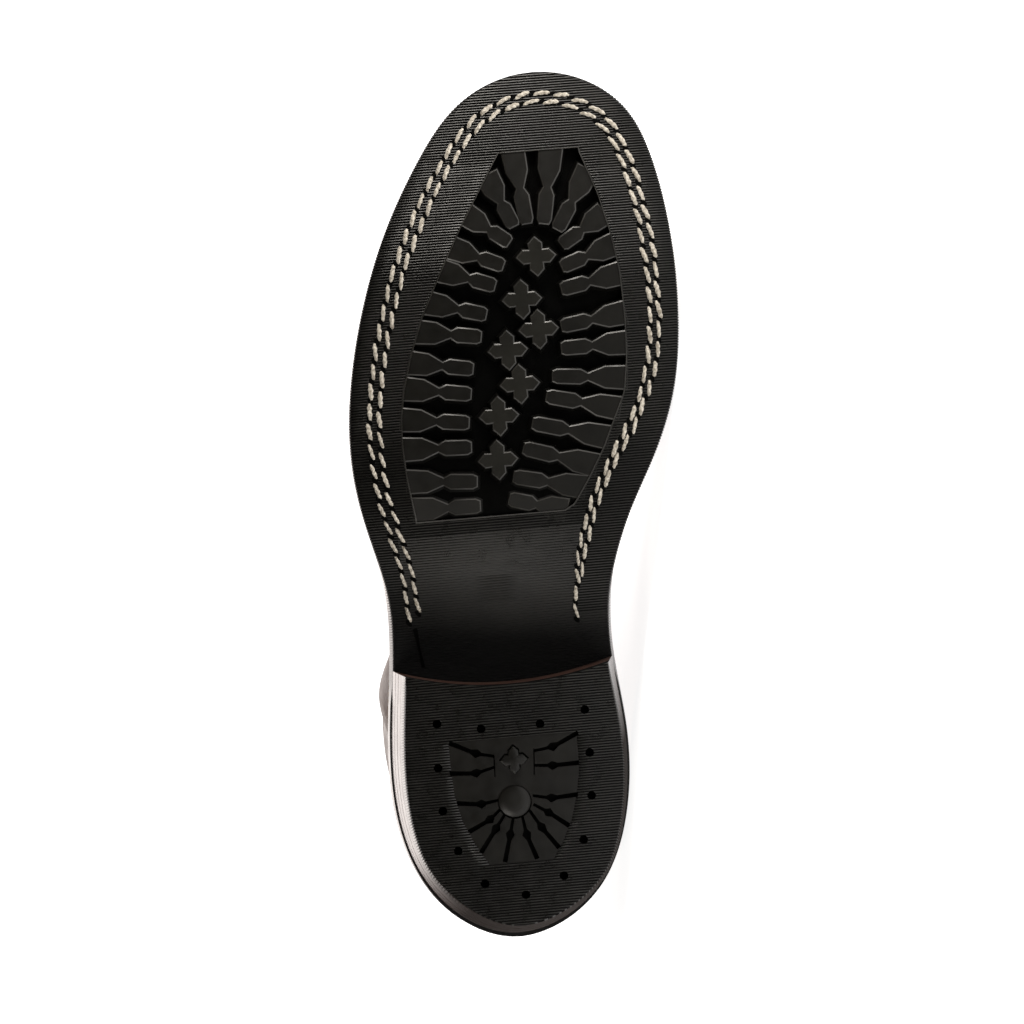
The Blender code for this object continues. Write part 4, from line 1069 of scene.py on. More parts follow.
NICK_SHAPE = table("along half_width", (0.0, 0.22), (1.0, 0.22))
BOSS = (51.1, 1.0)
BOSS_RADIUS = 5.6
BOSS_SIDES = 40
HEEL_CROSS = (65.4, 0.7)
HEEL_CROSS_SIZE = 0.66
NAILS = table(
    "x y",
    (78.0, -26.2),
    (76.3, -10.8),
    (78.0, 9.8),
    (82.9, 25.5),
    (67.9, 27.2),
    (52.9, 27.9),
    (37.5, 25.1),
    (24.9, 18.2),
    (18.3, 4.9),
    (22.2, -9.4),
    (33.7, -18.8),
    (47.6, -24.1),
    (62.6, -25.8),
)
print("heel nails: %d, grooves: %d" % (len(NAILS["x"]), len(GROOVES["out_x"])))

# %% Heel outline and breast
HEEL_HEIGHT = float(tread(0.0))


def heel_ring(height):
    """Outline of the heel at a height, before its breast is cut."""
    taper = 1.0 - height / HEEL_HEIGHT
    back_share = ease(1.0 - SOLE_EDGE[:, 0] / HEEL_BACK_LENGTH)
    side_inset = HEEL_SIDE_TAPER + (HEEL_BACK_TAPER - HEEL_SIDE_TAPER) * back_share
    return inset(SOLE_EDGE, MIDSOLE_SETBACK + side_inset * taper)


def breast(y):
    """The hollow front edge of the heel."""
    return BREAST_X + RIB_SLANT * y + BREAST_HOLLOW * y * y


def level(height):
    """A height function that is the same everywhere."""
    return lambda x: np.full(np.shape(x), float(height))


def round_plan(centre, radius, sides):
    angles = circle(sides)
    return np.column_stack((np.cos(angles), np.sin(angles))) * radius + np.array(centre)


print("heel is %.1f mm high" % HEEL_HEIGHT)

# %% Heel top piece
RIBS_STOP = 104.0
# The cutter of the breast reaches this far ahead and to each side; all cutters start below ground.
BREAST_CUT = (140.0, 60.0)
CUT_ROOM = 2.0
RING_SHIFT = 0.35
RING_WIDTH = 0.35
CROSS_RING_WIDTH = 0.4


def cut(piece, points, faces, inner_finish):
    """Takes a gathered cutter away from a piece and keeps the result as its mesh."""
    mesh = new_mesh("cutter", points, faces, (inner_finish,))
    shape = bmesh.new()
    shape.from_mesh(mesh)
    bmesh.ops.recalc_face_normals(shape, faces=shape.faces)
    shape.to_mesh(mesh)
    shape.free()
    cutter = bpy.data.objects.new("cutter", mesh)
    bpy.context.scene.collection.objects.link(cutter)
    boolean = piece.modifiers.new("cut", "BOOLEAN")
    boolean.operation = "DIFFERENCE"
    boolean.solver = "EXACT"
    boolean.use_self = True
    boolean.material_mode = "TRANSFER"
    boolean.object = cutter
    evaluated = piece.evaluated_get(bpy.context.evaluated_depsgraph_get())
    result = bpy.data.meshes.new_from_object(evaluated)
    piece.modifiers.clear()
    old, piece.data = piece.data, result
    bpy.data.meshes.remove(old)
    bpy.data.objects.remove(cutter)
    bpy.data.meshes.remove(mesh)


def pit(plan, depth):
    """A cutter from below the ground up to a depth."""
    return block(plan, ((0.0, level(-CUT_ROOM)), (0.0, level(depth))))


def heel_cutters():
    ahead, aside = BREAST_CUT
    across = np.linspace(-aside, aside, 61)
    front = np.column_stack((breast(across), across))
    plan = np.concatenate((front, ((ahead, aside), (ahead, -aside))))
    solids = [pit(plan, HEEL_TOP_PIECE + CUT_ROOM)]
    for rows, shape in ((GROOVES, GROOVE_SHAPE), (NICKS, NICK_SHAPE)):
        solids += [pit(shape_plan(line, shape), GROOVE_DEPTH) for line in zip(*rows.values())]
    ring = round_plan((BOSS[0] - RING_SHIFT, BOSS[1]), BOSS_RADIUS + RING_WIDTH, BOSS_SIDES)
    outline = cross_plan((HEEL_CROSS[0] + RING_SHIFT, HEEL_CROSS[1]), HEEL_CROSS_SIZE)
    solids += [pit(ring, RING_DEPTH), pit(grown(outline, CROSS_RING_WIDTH), RING_DEPTH)]
    solids += [pit(round_plan(nail, NAIL_RADIUS, NAIL_SIDES), NAIL_DEPTH) for nail in zip(*NAILS.values())]
    return gather(solids)


def heel_rib(_, across):
    """The heel's ribs are equally deep everywhere."""
    return np.full(np.shape(across), RIB_DEPTH)


def make_heel_top_piece():
    plans = (inset(heel_ring(0.0), EDGE_BEVEL), heel_ring(EDGE_BEVEL), heel_ring(HEEL_TOP_PIECE))
    outlines = [(*sides_by_run(plan)[:3], RIBS_STOP) for plan in plans]
    ground, top, bed = level(0.0), level(HEEL_TOP_PIECE), level(HEEL_PANEL_DEPTH)
    runs, sunk, rings = ribbed_rings(
        outlines, ground, top, panel_sides(HEEL_PANEL), HEEL_PANEL_RUN, bed, heel_rib, level(0.0)
    )
    points, faces = loft(rings)
    size = rings.shape[1]
    faces.append(tuple(range(len(points) - size, len(points))))
    finish = np.append(ribbed_faces(runs, sunk, size, HEEL_PANEL_RUN, 0.0), RIBS)
    finishes = (HEEL_RUBBER, PANEL_RUBBER, GAP_PAINTED_SHADE, TRIMMED_EDGE)
    node = ("heel_top_piece",)
    piece = make_piece("heel_top_piece_ribbed", points, faces, finishes, "rubber", node, finish)
    # The walls and floors of the cuts, and the cut face of the breast, are painted black as painted shade.
    cut(piece, *heel_cutters(), HOLE_PAINTED_SHADE)
    return piece


heel_top_piece = make_heel_top_piece()
print("heel top piece after cutting: %d faces" % len(heel_top_piece.data.polygons))

# %% [markdown]
# In the middle of the heel's panel sit a plain round boss and a small cross like those in front.
# They are raised a few tenths of a millimetre, so they show mostly by their edges.

# %% Heel boss and cross
RAISED_ROOT = 0.3
DOME = ((0.0, 0.75), (0.9, 0.36), (2.2, 0.10), (4.0, -0.02))
FLAT = ((0.0, 0.20), (0.7, -0.02))


def raised(plan, steps):
    """A block that stands in its ring; each step says how far in and how deep an edge lies."""
    root = (RAISED_ROOT, level(RING_DEPTH + RAISED_ROOT))
    return block(plan, (root, *((-inwards, level(depth)) for inwards, depth in steps)))


dome = raised(round_plan(BOSS, BOSS_RADIUS, BOSS_SIDES), DOME)
cross = raised(cross_plan(HEEL_CROSS, HEEL_CROSS_SIZE), FLAT)
points, faces = gather([dome, cross])
make_piece("heel_boss_and_cross", points, faces, (PANEL_RUBBER,), "rubber", sharp=CRISP)

# %% [markdown]
# Above the rubber the heel is leather: three lifts, cut to the tapered outline, glued, sanded and
# waxed together. Fine bevels leave the dark line that shows between lifts on a real heel. Each
# lift is a closed loft whose ring runs round the wall and back along the hollow breast, which is
# only stained and stays dull.

# %% Heel lifts
HEEL_LIFTS = 3
LIFT_BEVEL = 0.3
WALL_POINTS = 150
FRONT_POINTS = 40
LIFT_GAP = 0.05
# Height that the last lift gains under the rising shank, and the air that it leaves there.
LAST_ROOM = 1.0
TOP_ROOM = 0.1


def heel_plan(height, shrink):
    """Outline of the heel at a height, closed by its breast, shrunk a little for a bevel."""
    ring = np.roll(inset(heel_ring(height), shrink), HALF_SAMPLES, axis=0)
    ahead = ring[:, 0] - breast(ring[:, 1]) + shrink
    kept = np.flatnonzero(ahead < 0)
    first, last = kept[0], kept[-1]
    ends = []
    for outside, inside in ((first - 1, first), (last + 1, last)):
        share = ahead[outside] / (ahead[outside] - ahead[inside])
        ends.append(ring[outside] + share * (ring[inside] - ring[outside]))
    wall = np.concatenate((ends[:1], ring[first : last + 1], ends[1:]))
    length = run_along(wall)
    wall = on_line(np.linspace(0.0, length[-1], WALL_POINTS), length, wall)
    across = np.linspace(wall[-1, 1], wall[0, 1], FRONT_POINTS)[1:-1]
    return np.concatenate((wall, np.column_stack((breast(across) - shrink, across))))


def make_lift(number, low, high, top):
    rings = []
    for height, shrink, face in (
        (low, LIFT_BEVEL, level(low)),
        (low + LIFT_BEVEL, 0.0, level(low + LIFT_BEVEL)),
        (high - LIFT_BEVEL, 0.0, lambda x: top(x) - LIFT_BEVEL),
        (high, LIFT_BEVEL, top),
    ):
        rings.append(at_height(heel_plan(height, shrink), face))
    points, faces = capped(rings)
    front = np.arange(len(rings[0])) >= WALL_POINTS - 1
    finish = np.tile(front, len(rings) - 1).tolist() + [False, False]
    node = f"heel_lift_{number}"
    leathers = (STACK_LEATHER, BREAST_LEATHER)
    make_piece(f"{node}_leather", points, faces, leathers, "stack", (node,), finish)


def under_sole(x):
    return tread(x) - TOP_ROOM


lift_height = (float(tread(BREAST_X)) - GAP - HEEL_TOP_PIECE - LAST_ROOM) / HEEL_LIFTS
for number in range(1, HEEL_LIFTS + 1):
    low = HEEL_TOP_PIECE + LIFT_GAP + (number - 1) * lift_height
    high = low + lift_height - LIFT_GAP
    make_lift(number, low, high, level(high) if number < HEEL_LIFTS else under_sole)

# %% [markdown]
# Midsole and insole are flat layers with softened edges. The two long sides of an outline pair up
# point by point, so a ladder of faces closes the top and bottom, and the layer bends with the sole.

# %% Midsole and insole
MIDSOLE_LIFT = 0.1
MIDSOLE_BEVEL = 0.45
WALL = 2.2
INSOLE = 3.4
INSOLE_ROOM = 0.9
INSOLE_BEVEL = 0.6


def layer(edge, bottom, top, bevel):
    """A sole layer with bevelled edges between two height functions."""
    rings = []
    for shrink, height, lift in (
        (bevel, bottom, 0.0),
        (0.0, bottom, bevel),
        (0.0, top, -bevel),
        (bevel, top, 0.0),
    ):
        rings.append(at_height(inset(edge, shrink), height) + (0.0, 0.0, lift))
    points, faces = loft(rings)
    size = len(edge)
    for start in (0, len(points) - size):
        for i in range(size // 2):
            rung = (i, i + 1, (size - i - 1) % size, (size - i) % size)
            faces.append(tuple(start + k for k in dict.fromkeys(rung)))
    return points, faces


midsole_edge = inset(SOLE_EDGE, MIDSOLE_SETBACK)
midsole = layer(midsole_edge, lambda x: outsole_top(x) + MIDSOLE_LIFT, midsole_top, MIDSOLE_BEVEL)
make_piece("midsole_leather", *midsole, (MIDSOLE_LEATHER,), "sole_leather", ("midsole",))
inner_edge = inset(SOLE_EDGE, welt_reach(SOLE_EDGE[:, 0]) + WALL + INSOLE_ROOM)
insole = layer(inner_edge, feather_height, lambda x: feather_height(x) + INSOLE, INSOLE_BEVEL)
make_piece("insole_leather", *insole, (LINING_LEATHER,), "lining", ("insole",))

# %% [markdown]
# The upper has the shape of the last, a foot-shaped form: a table of rings from the sole's edge to
# the collar. Low rings keep the footprint, high rings turn into the oval of the leg. A point on it
# is named by its ring and by its turn round the ring, from the back to the front.

# %% Table of the last
UPPER = table(
    "back_x back_up front_x front_up back_y front_y lateral medial wide_at "
    "back_full front_full foot_share foot_scale",
    (0.0, 0.0, 0.0, 0.0, 2.4, 11.3, 40.0, 40.0, 0.50, 1.00, 1.00, 1.00, 1.000),
    (-1.6, 7.5, 2.8, 8.0, 2.4, 11.3, 40.0, 40.0, 0.50, 1.00, 1.00, 1.00, 1.018),
    (-2.6, 15.5, 2.8, 17.0, 2.4, 11.3, 40.0, 40.0, 0.50, 1.00, 1.00, 1.00, 1.022),
    (-2.8, 24.5, -1.8, 26.5, 2.3, 11.0, 40.0, 40.0, 0.48, 1.05, 0.98, 0.96, 1.006),
    (-2.2, 34.0, -12.0, 34.5, 2.2, 10.2, 39.4, 39.4, 0.45, 1.10, 0.94, 0.85, 0.970),
    (-1.0, 43.0, -28.5, 40.2, 2.1, 9.0, 38.6, 38.8, 0.42, 1.12, 0.87, 0.64, 0.930),
    (0.4, 52.0, -48.5, 45.0, 2.0, 7.5, 38.2, 38.6, 0.40, 1.12, 0.80, 0.44, 0.900),
    (1.8, 61.0, -70.0, 51.0, 1.9, 6.0, 38.6, 39.0, 0.40, 1.10, 0.76, 0.28, 0.880),
    (3.0, 69.5, -91.0, 58.5, 1.8, 4.8, 39.2, 39.8, 0.40, 1.07, 0.74, 0.16, 0.870),
    (4.0, 77.5, -109.5, 67.5, 1.7, 4.0, 39.8, 40.5, 0.40, 1.04, 0.74, 0.08, 0.860),
    (4.9, 86.0, -126.5, 78.5, 1.6, 3.2, 40.2, 41.0, 0.41, 1.01, 0.76, 0.03, 0.860),
    (5.5, 95.5, -141.0, 92.0, 1.5, 2.5, 40.2, 41.2, 0.43, 0.99, 0.80, 0.00, 0.860),
    (5.7, 107.5, -152.0, 109.0, 1.5, 2.0, 39.9, 41.0, 0.45, 0.97, 0.85, 0.00, 0.860),
    (5.1, 124.5, -159.5, 130.5, 1.5, 1.6, 39.6, 41.0, 0.47, 0.97, 0.90, 0.00, 0.860),
    (3.0, 152.5, -164.0, 161.5, 1.5, 1.5, 39.6, 41.4, 0.49, 0.98, 0.95, 0.00, 0.860),
    (-0.4, 188.5, -166.0, 201.0, 1.5, 1.5, 40.2, 42.4, 0.50, 1.00, 0.98, 0.00, 0.860),
    (-3.8, 226.0, -167.0, 241.5, 1.5, 1.5, 41.0, 43.6, 0.50, 1.00, 1.00, 0.00, 0.860),
    (-5.0, 241.0, -167.5, 255.0, 1.5, 1.5, 41.2, 44.0, 0.50, 1.00, 1.00, 0.00, 0.860),
)
ANKLE = table(
    "side x z swell reach_x reach_z",
    (-1.0, 83.0, 108.0, 6.6, 19.0, 24.0),
    (1.0, 84.0, 116.0, 3.2, 20.0, 24.0),
)
RINGS = len(UPPER["back_x"])
upper_rows = smooth_curve(np.arange(float(RINGS)), np.column_stack(list(UPPER.values())))
print("rings of the last: %d" % RINGS)

# %% Surface of the upper
HEEL_END, TOE_END = FEATHER_EDGE[0], FEATHER_EDGE[HALF_SAMPLES]
HEEL_END_Z, TOE_END_Z = feather_height(HEEL_END[0]), feather_height(TOE_END[0])
ROW_STEP = 0.05
TURN_STEP = 0.006


def matched(*values):
    """Numbers and arrays brought to one shape."""
    return np.broadcast_arrays(*(np.asarray(value, float) for value in values))


def along_edge(points, side, fraction):
    """Point of an outline, from the heel's end (0) to the toe's (1) along one side."""
    at = np.where(side < 0, fraction, 2.0 - fraction) * HALF_SAMPLES
    return on_line(at, np.arange(2 * HALF_SAMPLES + 1), np.concatenate((points, points[:1])))


def footprint(side, fraction):
    """The ring at the sole, as shares along and across the line from heel to toe, and its lift."""
    foot = along_edge(FEATHER_EDGE, side, fraction)
    along = (foot[..., 0] - HEEL_END[0]) / (TOE_END[0] - HEEL_END[0])
    across = foot[..., 1] - HEEL_END[1] - along * (TOE_END[1] - HEEL_END[1])
    lift = feather_height(foot[..., 0]) - HEEL_END_Z - along * (TOE_END_Z - HEEL_END_Z)
    return along, across, lift


def leg_oval(ring, side, fraction):
    """The oval that the rings turn into."""
    angle = math.pi * fraction
    along = 0.5 - 0.5 * np.cos(angle) + (ring["wide_at"] - 0.5) * np.sin(angle) ** 2
    to_front, to_back = ease((along - 0.4) / 0.6), ease((0.4 - along) / 0.4)
    full = 1 + (ring["front_full"] - 1) * to_front + (ring["back_full"] - 1) * to_back
    half = np.where(side < 0, ring["lateral"], ring["medial"])
    return along, side * half * np.sin(angle) * full


def above_floor(points):
    """Presses points flat where the side of the boot lies on the floor."""
    limit = FLOOR[0] + FLOOR[1] * points[..., 0] + FLOOR[2] * points[..., 2]
    points[..., 1] = np.minimum(points[..., 1], limit)
    return points


def upper_surface(row, turn):
    """Outside of the upper: turn is 0 at the back, -1 or 1 at the front, negative on the outer side."""
    row, turn = matched(row, turn)
    turn = (turn + 1.0) % 2.0 - 1.0
    ring = dict(zip(UPPER, np.moveaxis(upper_rows(row), -1, 0)))
    side, fraction = np.where(turn < 0, -1.0, 1.0), np.abs(turn)
    foot_along, foot_across, foot_lift = footprint(side, fraction)
    oval_along, oval_across = leg_oval(ring, side, fraction)
    share = ring["foot_share"]
    along = share * foot_along + (1 - share) * oval_along
    back_x, back_z = HEEL_END[0] + ring["back_x"], HEEL_END_Z + ring["back_up"]
    x = back_x + along * (TOE_END[0] + ring["front_x"] - back_x)
    y = ring["back_y"] + along * (ring["front_y"] - ring["back_y"])
    y = y + share * ring["foot_scale"] * foot_across + (1 - share) * oval_across
    z = back_z + along * (TOE_END_Z + ring["front_up"] - back_z) + share**2 * foot_lift
    for bone_side, bone_x, bone_z, swell, reach_x, reach_z in zip(*ANKLE.values()):
        spread = ((x - bone_x) / reach_x) ** 2 + ((z - bone_z) / reach_z) ** 2
        y = y + np.where(side == bone_side, bone_side * swell * np.exp(-spread), 0.0)
    return above_floor(np.stack((x, y, z), axis=-1))


def upward(row, turn):
    """A short step up the leather."""
    return upper_surface(row + ROW_STEP, turn) - upper_surface(row - ROW_STEP, turn)


def upper_normal(row, turn):
    row, turn = matched(row, turn)
    round_ring = upper_surface(row, turn + TURN_STEP) - upper_surface(row, turn - TURN_STEP)
    return unit(np.cross(upward(row, turn), round_ring))


print("collar at the back:", upper_surface(16.0, 0.0).round(1))

# %% [markdown]
# Leather that has been walked in keeps folds: across the ball, where the toes bend, and round the
# ankle. Each main fold is placed one by one as a soft trough with a low ridge beside it. The same
# function moves the wall, its lining and the panels on it, so they stay together.

# %% Creases
CREASES = table(
    "row turn lean depth width reach",
    (5.75, 1.00, 3.0, 0.75, 0.20, 0.16),
    (6.40, 1.00, 3.4, 1.00, 0.20, 0.19),
    (7.05, 1.00, 3.8, 0.80, 0.20, 0.17),
    (7.70, 1.00, 4.0, 0.50, 0.18, 0.13),
    (9.90, -0.62, -5.0, 1.10, 0.34, 0.16),
    (10.9, -0.58, -5.0, 0.80, 0.34, 0.14),
    (9.90, 0.62, 5.0, 0.90, 0.34, 0.15),
    (10.9, 0.58, 5.0, 0.60, 0.34, 0.13),
    (10.6, 0.00, 0.0, 0.80, 0.36, 0.20),
    (11.7, 0.00, 0.0, 0.60, 0.40, 0.17),
    (13.2, -0.45, 2.0, 0.60, 0.50, 0.22),
)
# Height and place of the ridge above each trough, in depths and widths of the trough.
RIDGE, RIDGE_AWAY = 0.55, 1.9


def creases(row, turn):
    """How far the folds move the leather, outwards."""
    row, turn = matched(row, turn)
    moved = np.zeros(row.shape)
    for at_row, at_turn, lean, depth, width, reach in zip(*CREASES.values()):
        aside = (turn - at_turn + 1.0) % 2.0 - 1.0
        bow = lean * (np.abs(aside) if abs(at_turn) == 1.0 else aside)
        up = (row - at_row + bow) / width
        fade = np.exp(-((aside / reach) ** 2))
        moved -= depth * fade * (np.exp(-(up**2)) - RIDGE * np.exp(-((up - RIDGE_AWAY) ** 2)))
    return moved


def off_upper(row, turn, distance):
    """Point at a distance outside (or, negative, inside) the creased upper."""
    moved = np.asarray(distance, float) + creases(row, turn)
    return above_floor(upper_surface(row, turn) + upper_normal(row, turn) * moved[..., None])


print("folds: %d" % len(CREASES["row"]))

# %% [markdown]
# The throat is where the two sides part over the tongue. Columns of the net are counted from the
# back and crowd a little towards the throat's edge, so a panel can name its edges by column.

# %% Throat and net
HALF_COLUMNS = 22
THROAT_ROW = 8.8
COLLAR_ROW = 16.0
THROAT = table("row half_gap", (8.8, 0.0), (9.1, 5.6), (9.6, 8.4), (11.0, 10.5), (14.0, 12.0), (17.0, 13.0))
throat_gap = eased_curve(THROAT["row"], THROAT["half_gap"])


def turn_from_front(row, distance):
    """Turn of the point that lies a distance round the ring from the front, negative lateral."""
    side = -1.0 if distance < 0 else 1.0
    fraction = np.linspace(1.0, 0.3, 141)
    ring = upper_surface(row, side * fraction)
    return side * np.interp(abs(distance), run_along(ring), fraction)


EDGE_ROWS = np.concatenate((np.linspace(THROAT_ROW, 9.6, 25), np.linspace(9.7, 17.0, 30)))
THROAT_TURNS = {
    side: np.array([abs(turn_from_front(row, side * max(float(throat_gap(row)), 1e-6))) for row in EDGE_ROWS])
    for side in (-1.0, 1.0)
}


def net_turns(row, columns):
    """Turns of the net's columns, which crowd together beside the throat."""
    row, share = matched(row, np.asarray(columns, float) / HALF_COLUMNS)
    lateral = np.interp(row, EDGE_ROWS, THROAT_TURNS[-1.0])
    medial = np.interp(row, EDGE_ROWS, THROAT_TURNS[1.0])
    return share * (1.0 - (1.0 - np.where(share < 0, lateral, medial)) * share**2)


print("throat opens %.1f mm at the collar" % (2 * float(throat_gap(COLLAR_ROW))))

# %% [markdown]
# The wall is one grid that goes up the outside, rolls over the collar and comes down the lining.
# Below the throat its two sides meet at the front and are welded; above, a narrow rim closes each.

# %% Upper wall
ROLL = table(
    "below inward",
    (0.030, 0.0),
    (0.012, 0.30),
    (0.0, 0.85),
    (0.0, 1.35),
    (0.012, 1.90),
    (0.030, 2.2),
)
ROLL_START = 0.06
LOW_ROWS, HIGH_ROWS, WALL_COLUMNS = 84, 92, 201


def make_upper():
    outside = np.concatenate((
        np.linspace(0.0, THROAT_ROW, LOW_ROWS),
        np.linspace(THROAT_ROW, COLLAR_ROW - ROLL_START, HIGH_ROWS)[1:],
    ))
    rows = np.concatenate((outside, COLLAR_ROW - ROLL["below"], outside[::-1]))
    inward = np.concatenate((np.zeros(len(outside)), ROLL["inward"], np.full(len(outside), WALL)))
    turns = net_turns(rows[:, None], np.linspace(-HALF_COLUMNS, HALF_COLUMNS, WALL_COLUMNS)[None])
    grid = off_upper(rows[:, None], turns, -np.broadcast_to(inward[:, None], turns.shape))
    grid[-1, :, 2] = grid[0, :, 2]
    points, faces = loft(grid, wrap=False)
    count, size = grid.shape[:2]
    faces += [(j, j + 1, (count - 1) * size + j + 1, (count - 1) * size + j) for j in range(size - 1)]
    lining = np.arange(count - 1) >= len(outside) + len(ROLL["below"]) // 2
    finish = np.repeat(lining, size - 1).tolist() + [True] * (size - 1)
    for j in (0, size - 1):
        for i in range(LOW_ROWS - 1, count // 2 - 1):
            a, b = i * size + j, (i + 1) * size + j
            c, d = (count - 2 - i) * size + j, (count - 1 - i) * size + j
            faces.append((a, b, c, d))
            finish.append(False)
    leathers = (UPPER_LEATHER, LINING_LEATHER)
    make_piece("upper_wall", points, faces, leathers, "upper", ("upper",), finish, SOFT)


make_upper()

# %% [markdown]
# Panels are cut leather laid on the wall and sewn down: the vamp over the forepart, the counter
# round the heel, a stay up the back and a facing on each side of the throat. Their edges are
# skived and rolled by the hammer, so a panel's height falls off in a round at its rim.

# %% Panel helper
PANEL_UNDER = 0.04
PANEL_LIFT = 0.12
PANEL_SKIN = 1.5
PANEL_TOP = PANEL_LIFT + PANEL_SKIN
ROUND = 1.2
FAR = 99.0
ALL_FREE = (True, True, True, True)


def crowded(count):
    """Shares from 0 to 1 that crowd towards both ends."""
    return (1 - np.cos(np.linspace(0.0, math.pi, count))) / 2


def rim_distance(grid, free):
    """Distance of each grid point from the nearest free edge, of start and end along both axes."""
    nearest = np.full(grid.shape[:2], FAR)
    for axis in (0, 1):
        step = np.linalg.norm(np.diff(grid, axis=axis), axis=-1)
        run = np.concatenate((np.zeros_like(step.take([0], axis)), np.cumsum(step, axis=axis)), axis=axis)
        if free[2 * axis]:
            nearest = np.minimum(nearest, run)
        if free[2 * axis + 1]:
            nearest = np.minimum(nearest, run.take([-1], axis) - run)
    return nearest


def rounded(distance, radius):
    """Height of a quarter round, from 0 at the rim to 1 past its radius."""
    return np.sqrt(1 - (1 - np.clip(distance / radius, 0.0, 1.0)) ** 2)


def sheet_solid(outer, inner):
    """Points and faces of the solid between two matching grids."""
    points, faces = loft(outer, wrap=False)
    count = len(points)
    faces = faces + [tuple(i + count for i in reversed(face)) for face in faces]
    index = np.arange(count).reshape(outer.shape[:2])
    rim = np.concatenate((index[0], index[1:, -1], index[-1, -2::-1], index[-2:0:-1, 0])).tolist()
    faces += [(b, a, a + count, b + count) for a, b in zip(rim, rim[1:] + rim[:1])]
    return np.concatenate((points, inner.reshape(-1, 3))), faces


def make_panel(name, node, rows, turns, free):
    """A panel over a grid of rows and turns; free says which of its four edges are rounded."""
    rim = rim_distance(upper_surface(rows, turns), free)
    outer = off_upper(rows, turns, PANEL_LIFT + PANEL_SKIN * rounded(rim, ROUND))
    inner = off_upper(rows, turns, np.full(rows.shape, PANEL_UNDER))
    make_piece(name, *sheet_solid(outer, inner), (UPPER_LEATHER,), "upper", (node,), sharp=SOFT)


print("panel edges round off over %.1f mm" % ROUND)

# %% [markdown]
# Vamp and counter stand on the sole, and their upper edges fall in an arch from the middle to the
# corners. The stay and the facings are strips from a low row up to just under the collar.

# %% Vamp, counter, backstay and facings
PANEL_FOOT_ROW = 0.8
STRIP_END = COLLAR_ROW - 0.02
STRIP_ROWS = 110
# Columns from the middle to the corners, rows of the middle and the corners, and the arch's power.
VAMP_ARCH = (13.0, 8.45, 0.85, 2.3)
COUNTER_ARCH = (7.0, 5.4, 2.3, 2.0)
BACKSTAY_ROW = 5.55
BACKSTAY_HALF = (1.15, 2.0)
FACING_ROW = 9.25
FACING_WIDTH = 3.6


def arched_rows(reach, arch, count):
    """Rows of a panel whose upper edge falls from the middle to the corners."""
    half, middle, corner, power = arch
    tops = middle + (corner - middle) * (np.abs(reach) / half) ** power
    return PANEL_FOOT_ROW + crowded(count)[:, None] * (tops - PANEL_FOOT_ROW)


def vamp_grid():
    reach = np.linspace(-VAMP_ARCH[0], VAMP_ARCH[0], 161)
    rows = arched_rows(reach, VAMP_ARCH, 60)
    columns = np.where(reach < 0, HALF_COLUMNS + reach, reach - HALF_COLUMNS)
    return rows, net_turns(rows, np.broadcast_to(columns, rows.shape))


def counter_grid():
    columns = COUNTER_ARCH[0] * (2 * crowded(121) - 1)
    rows = arched_rows(columns, COUNTER_ARCH, 48)
    return rows, net_turns(rows, np.broadcast_to(columns, rows.shape))


def backstay_grid():
    rows = BACKSTAY_ROW + (STRIP_END - BACKSTAY_ROW) * crowded(STRIP_ROWS)
    low, high = BACKSTAY_HALF
    half = low + (high - low) * ease((rows - BACKSTAY_ROW) / (COLLAR_ROW - BACKSTAY_ROW))
    columns = half[:, None] * (2 * crowded(31) - 1)
    rows = np.broadcast_to(rows[:, None], columns.shape)
    return rows, net_turns(rows, columns)


def facing_grid(side):
    rows = FACING_ROW + (STRIP_END - FACING_ROW) * crowded(STRIP_ROWS)
    columns = side * (HALF_COLUMNS - FACING_WIDTH * (1 - crowded(40)))
    rows, columns = np.broadcast_arrays(rows[:, None], columns)
    return rows, net_turns(rows, columns)


VAMP, COUNTER, BACKSTAY = vamp_grid(), counter_grid(), backstay_grid()
FACINGS = {"lateral": facing_grid(-1.0), "medial": facing_grid(1.0)}
make_panel("vamp_leather", "vamp", *VAMP, (False, True, False, False))
make_panel("counter_leather", "counter", *COUNTER, (False, True, True, True))
make_panel("backstay_leather", "backstay", *BACKSTAY, ALL_FREE)
for hand, grid in FACINGS.items():
    make_panel(f"eyestay_{hand}_leather", f"eyestay_{hand}", *grid, ALL_FREE)

# %% [markdown]
# The tongue hangs behind the throat. It is a soft sheet with a rounded rim, a little fuller along
# its middle, and it stands just above the collar so that it can be pulled up.

# %% Tongue
TONGUE = 2.6
TONGUE_FACE = WALL + 0.6
TONGUE_ROWS = (7.4, 16.9)
TONGUE_COLUMN = 19.0
TONGUE_CORNER = 0.6
TONGUE_ROUND = 2.0
# How much the rim thins from each face, and how deep and how close together the ripples are.
TONGUE_THIN = 1.25
RIPPLE, RIPPLE_RATE = 0.25, 5.0


def make_tongue():
    up, across = crowded(110), crowded(61)
    low, high = TONGUE_ROWS
    rows = low + (high - low) * up
    lateral, medial = net_turns(rows, -TONGUE_COLUMN), net_turns(rows, TONGUE_COLUMN)
    turns = lateral[:, None] + (medial - 2.0 - lateral)[:, None] * across
    rows = rows[:, None] - TONGUE_CORNER * up[:, None] ** 8 * np.abs(2 * across - 1) ** 5
    rim = rim_distance(upper_surface(rows, turns), ALL_FREE)
    thin = TONGUE_THIN * (1 - rounded(rim, TONGUE_ROUND))
    ripple = RIPPLE * np.sin(rows * RIPPLE_RATE) * np.sin(math.pi * across) ** 2
    outer = off_upper(rows, turns, -TONGUE_FACE - thin + np.minimum(ripple, 0.0))
    inner = off_upper(rows, turns, -TONGUE_FACE - TONGUE + thin)
    solid = sheet_solid(outer, inner)
    make_piece("tongue_leather", *solid, (UPPER_LEATHER,), "upper", ("tongue",), sharp=SOFT)


make_tongue()

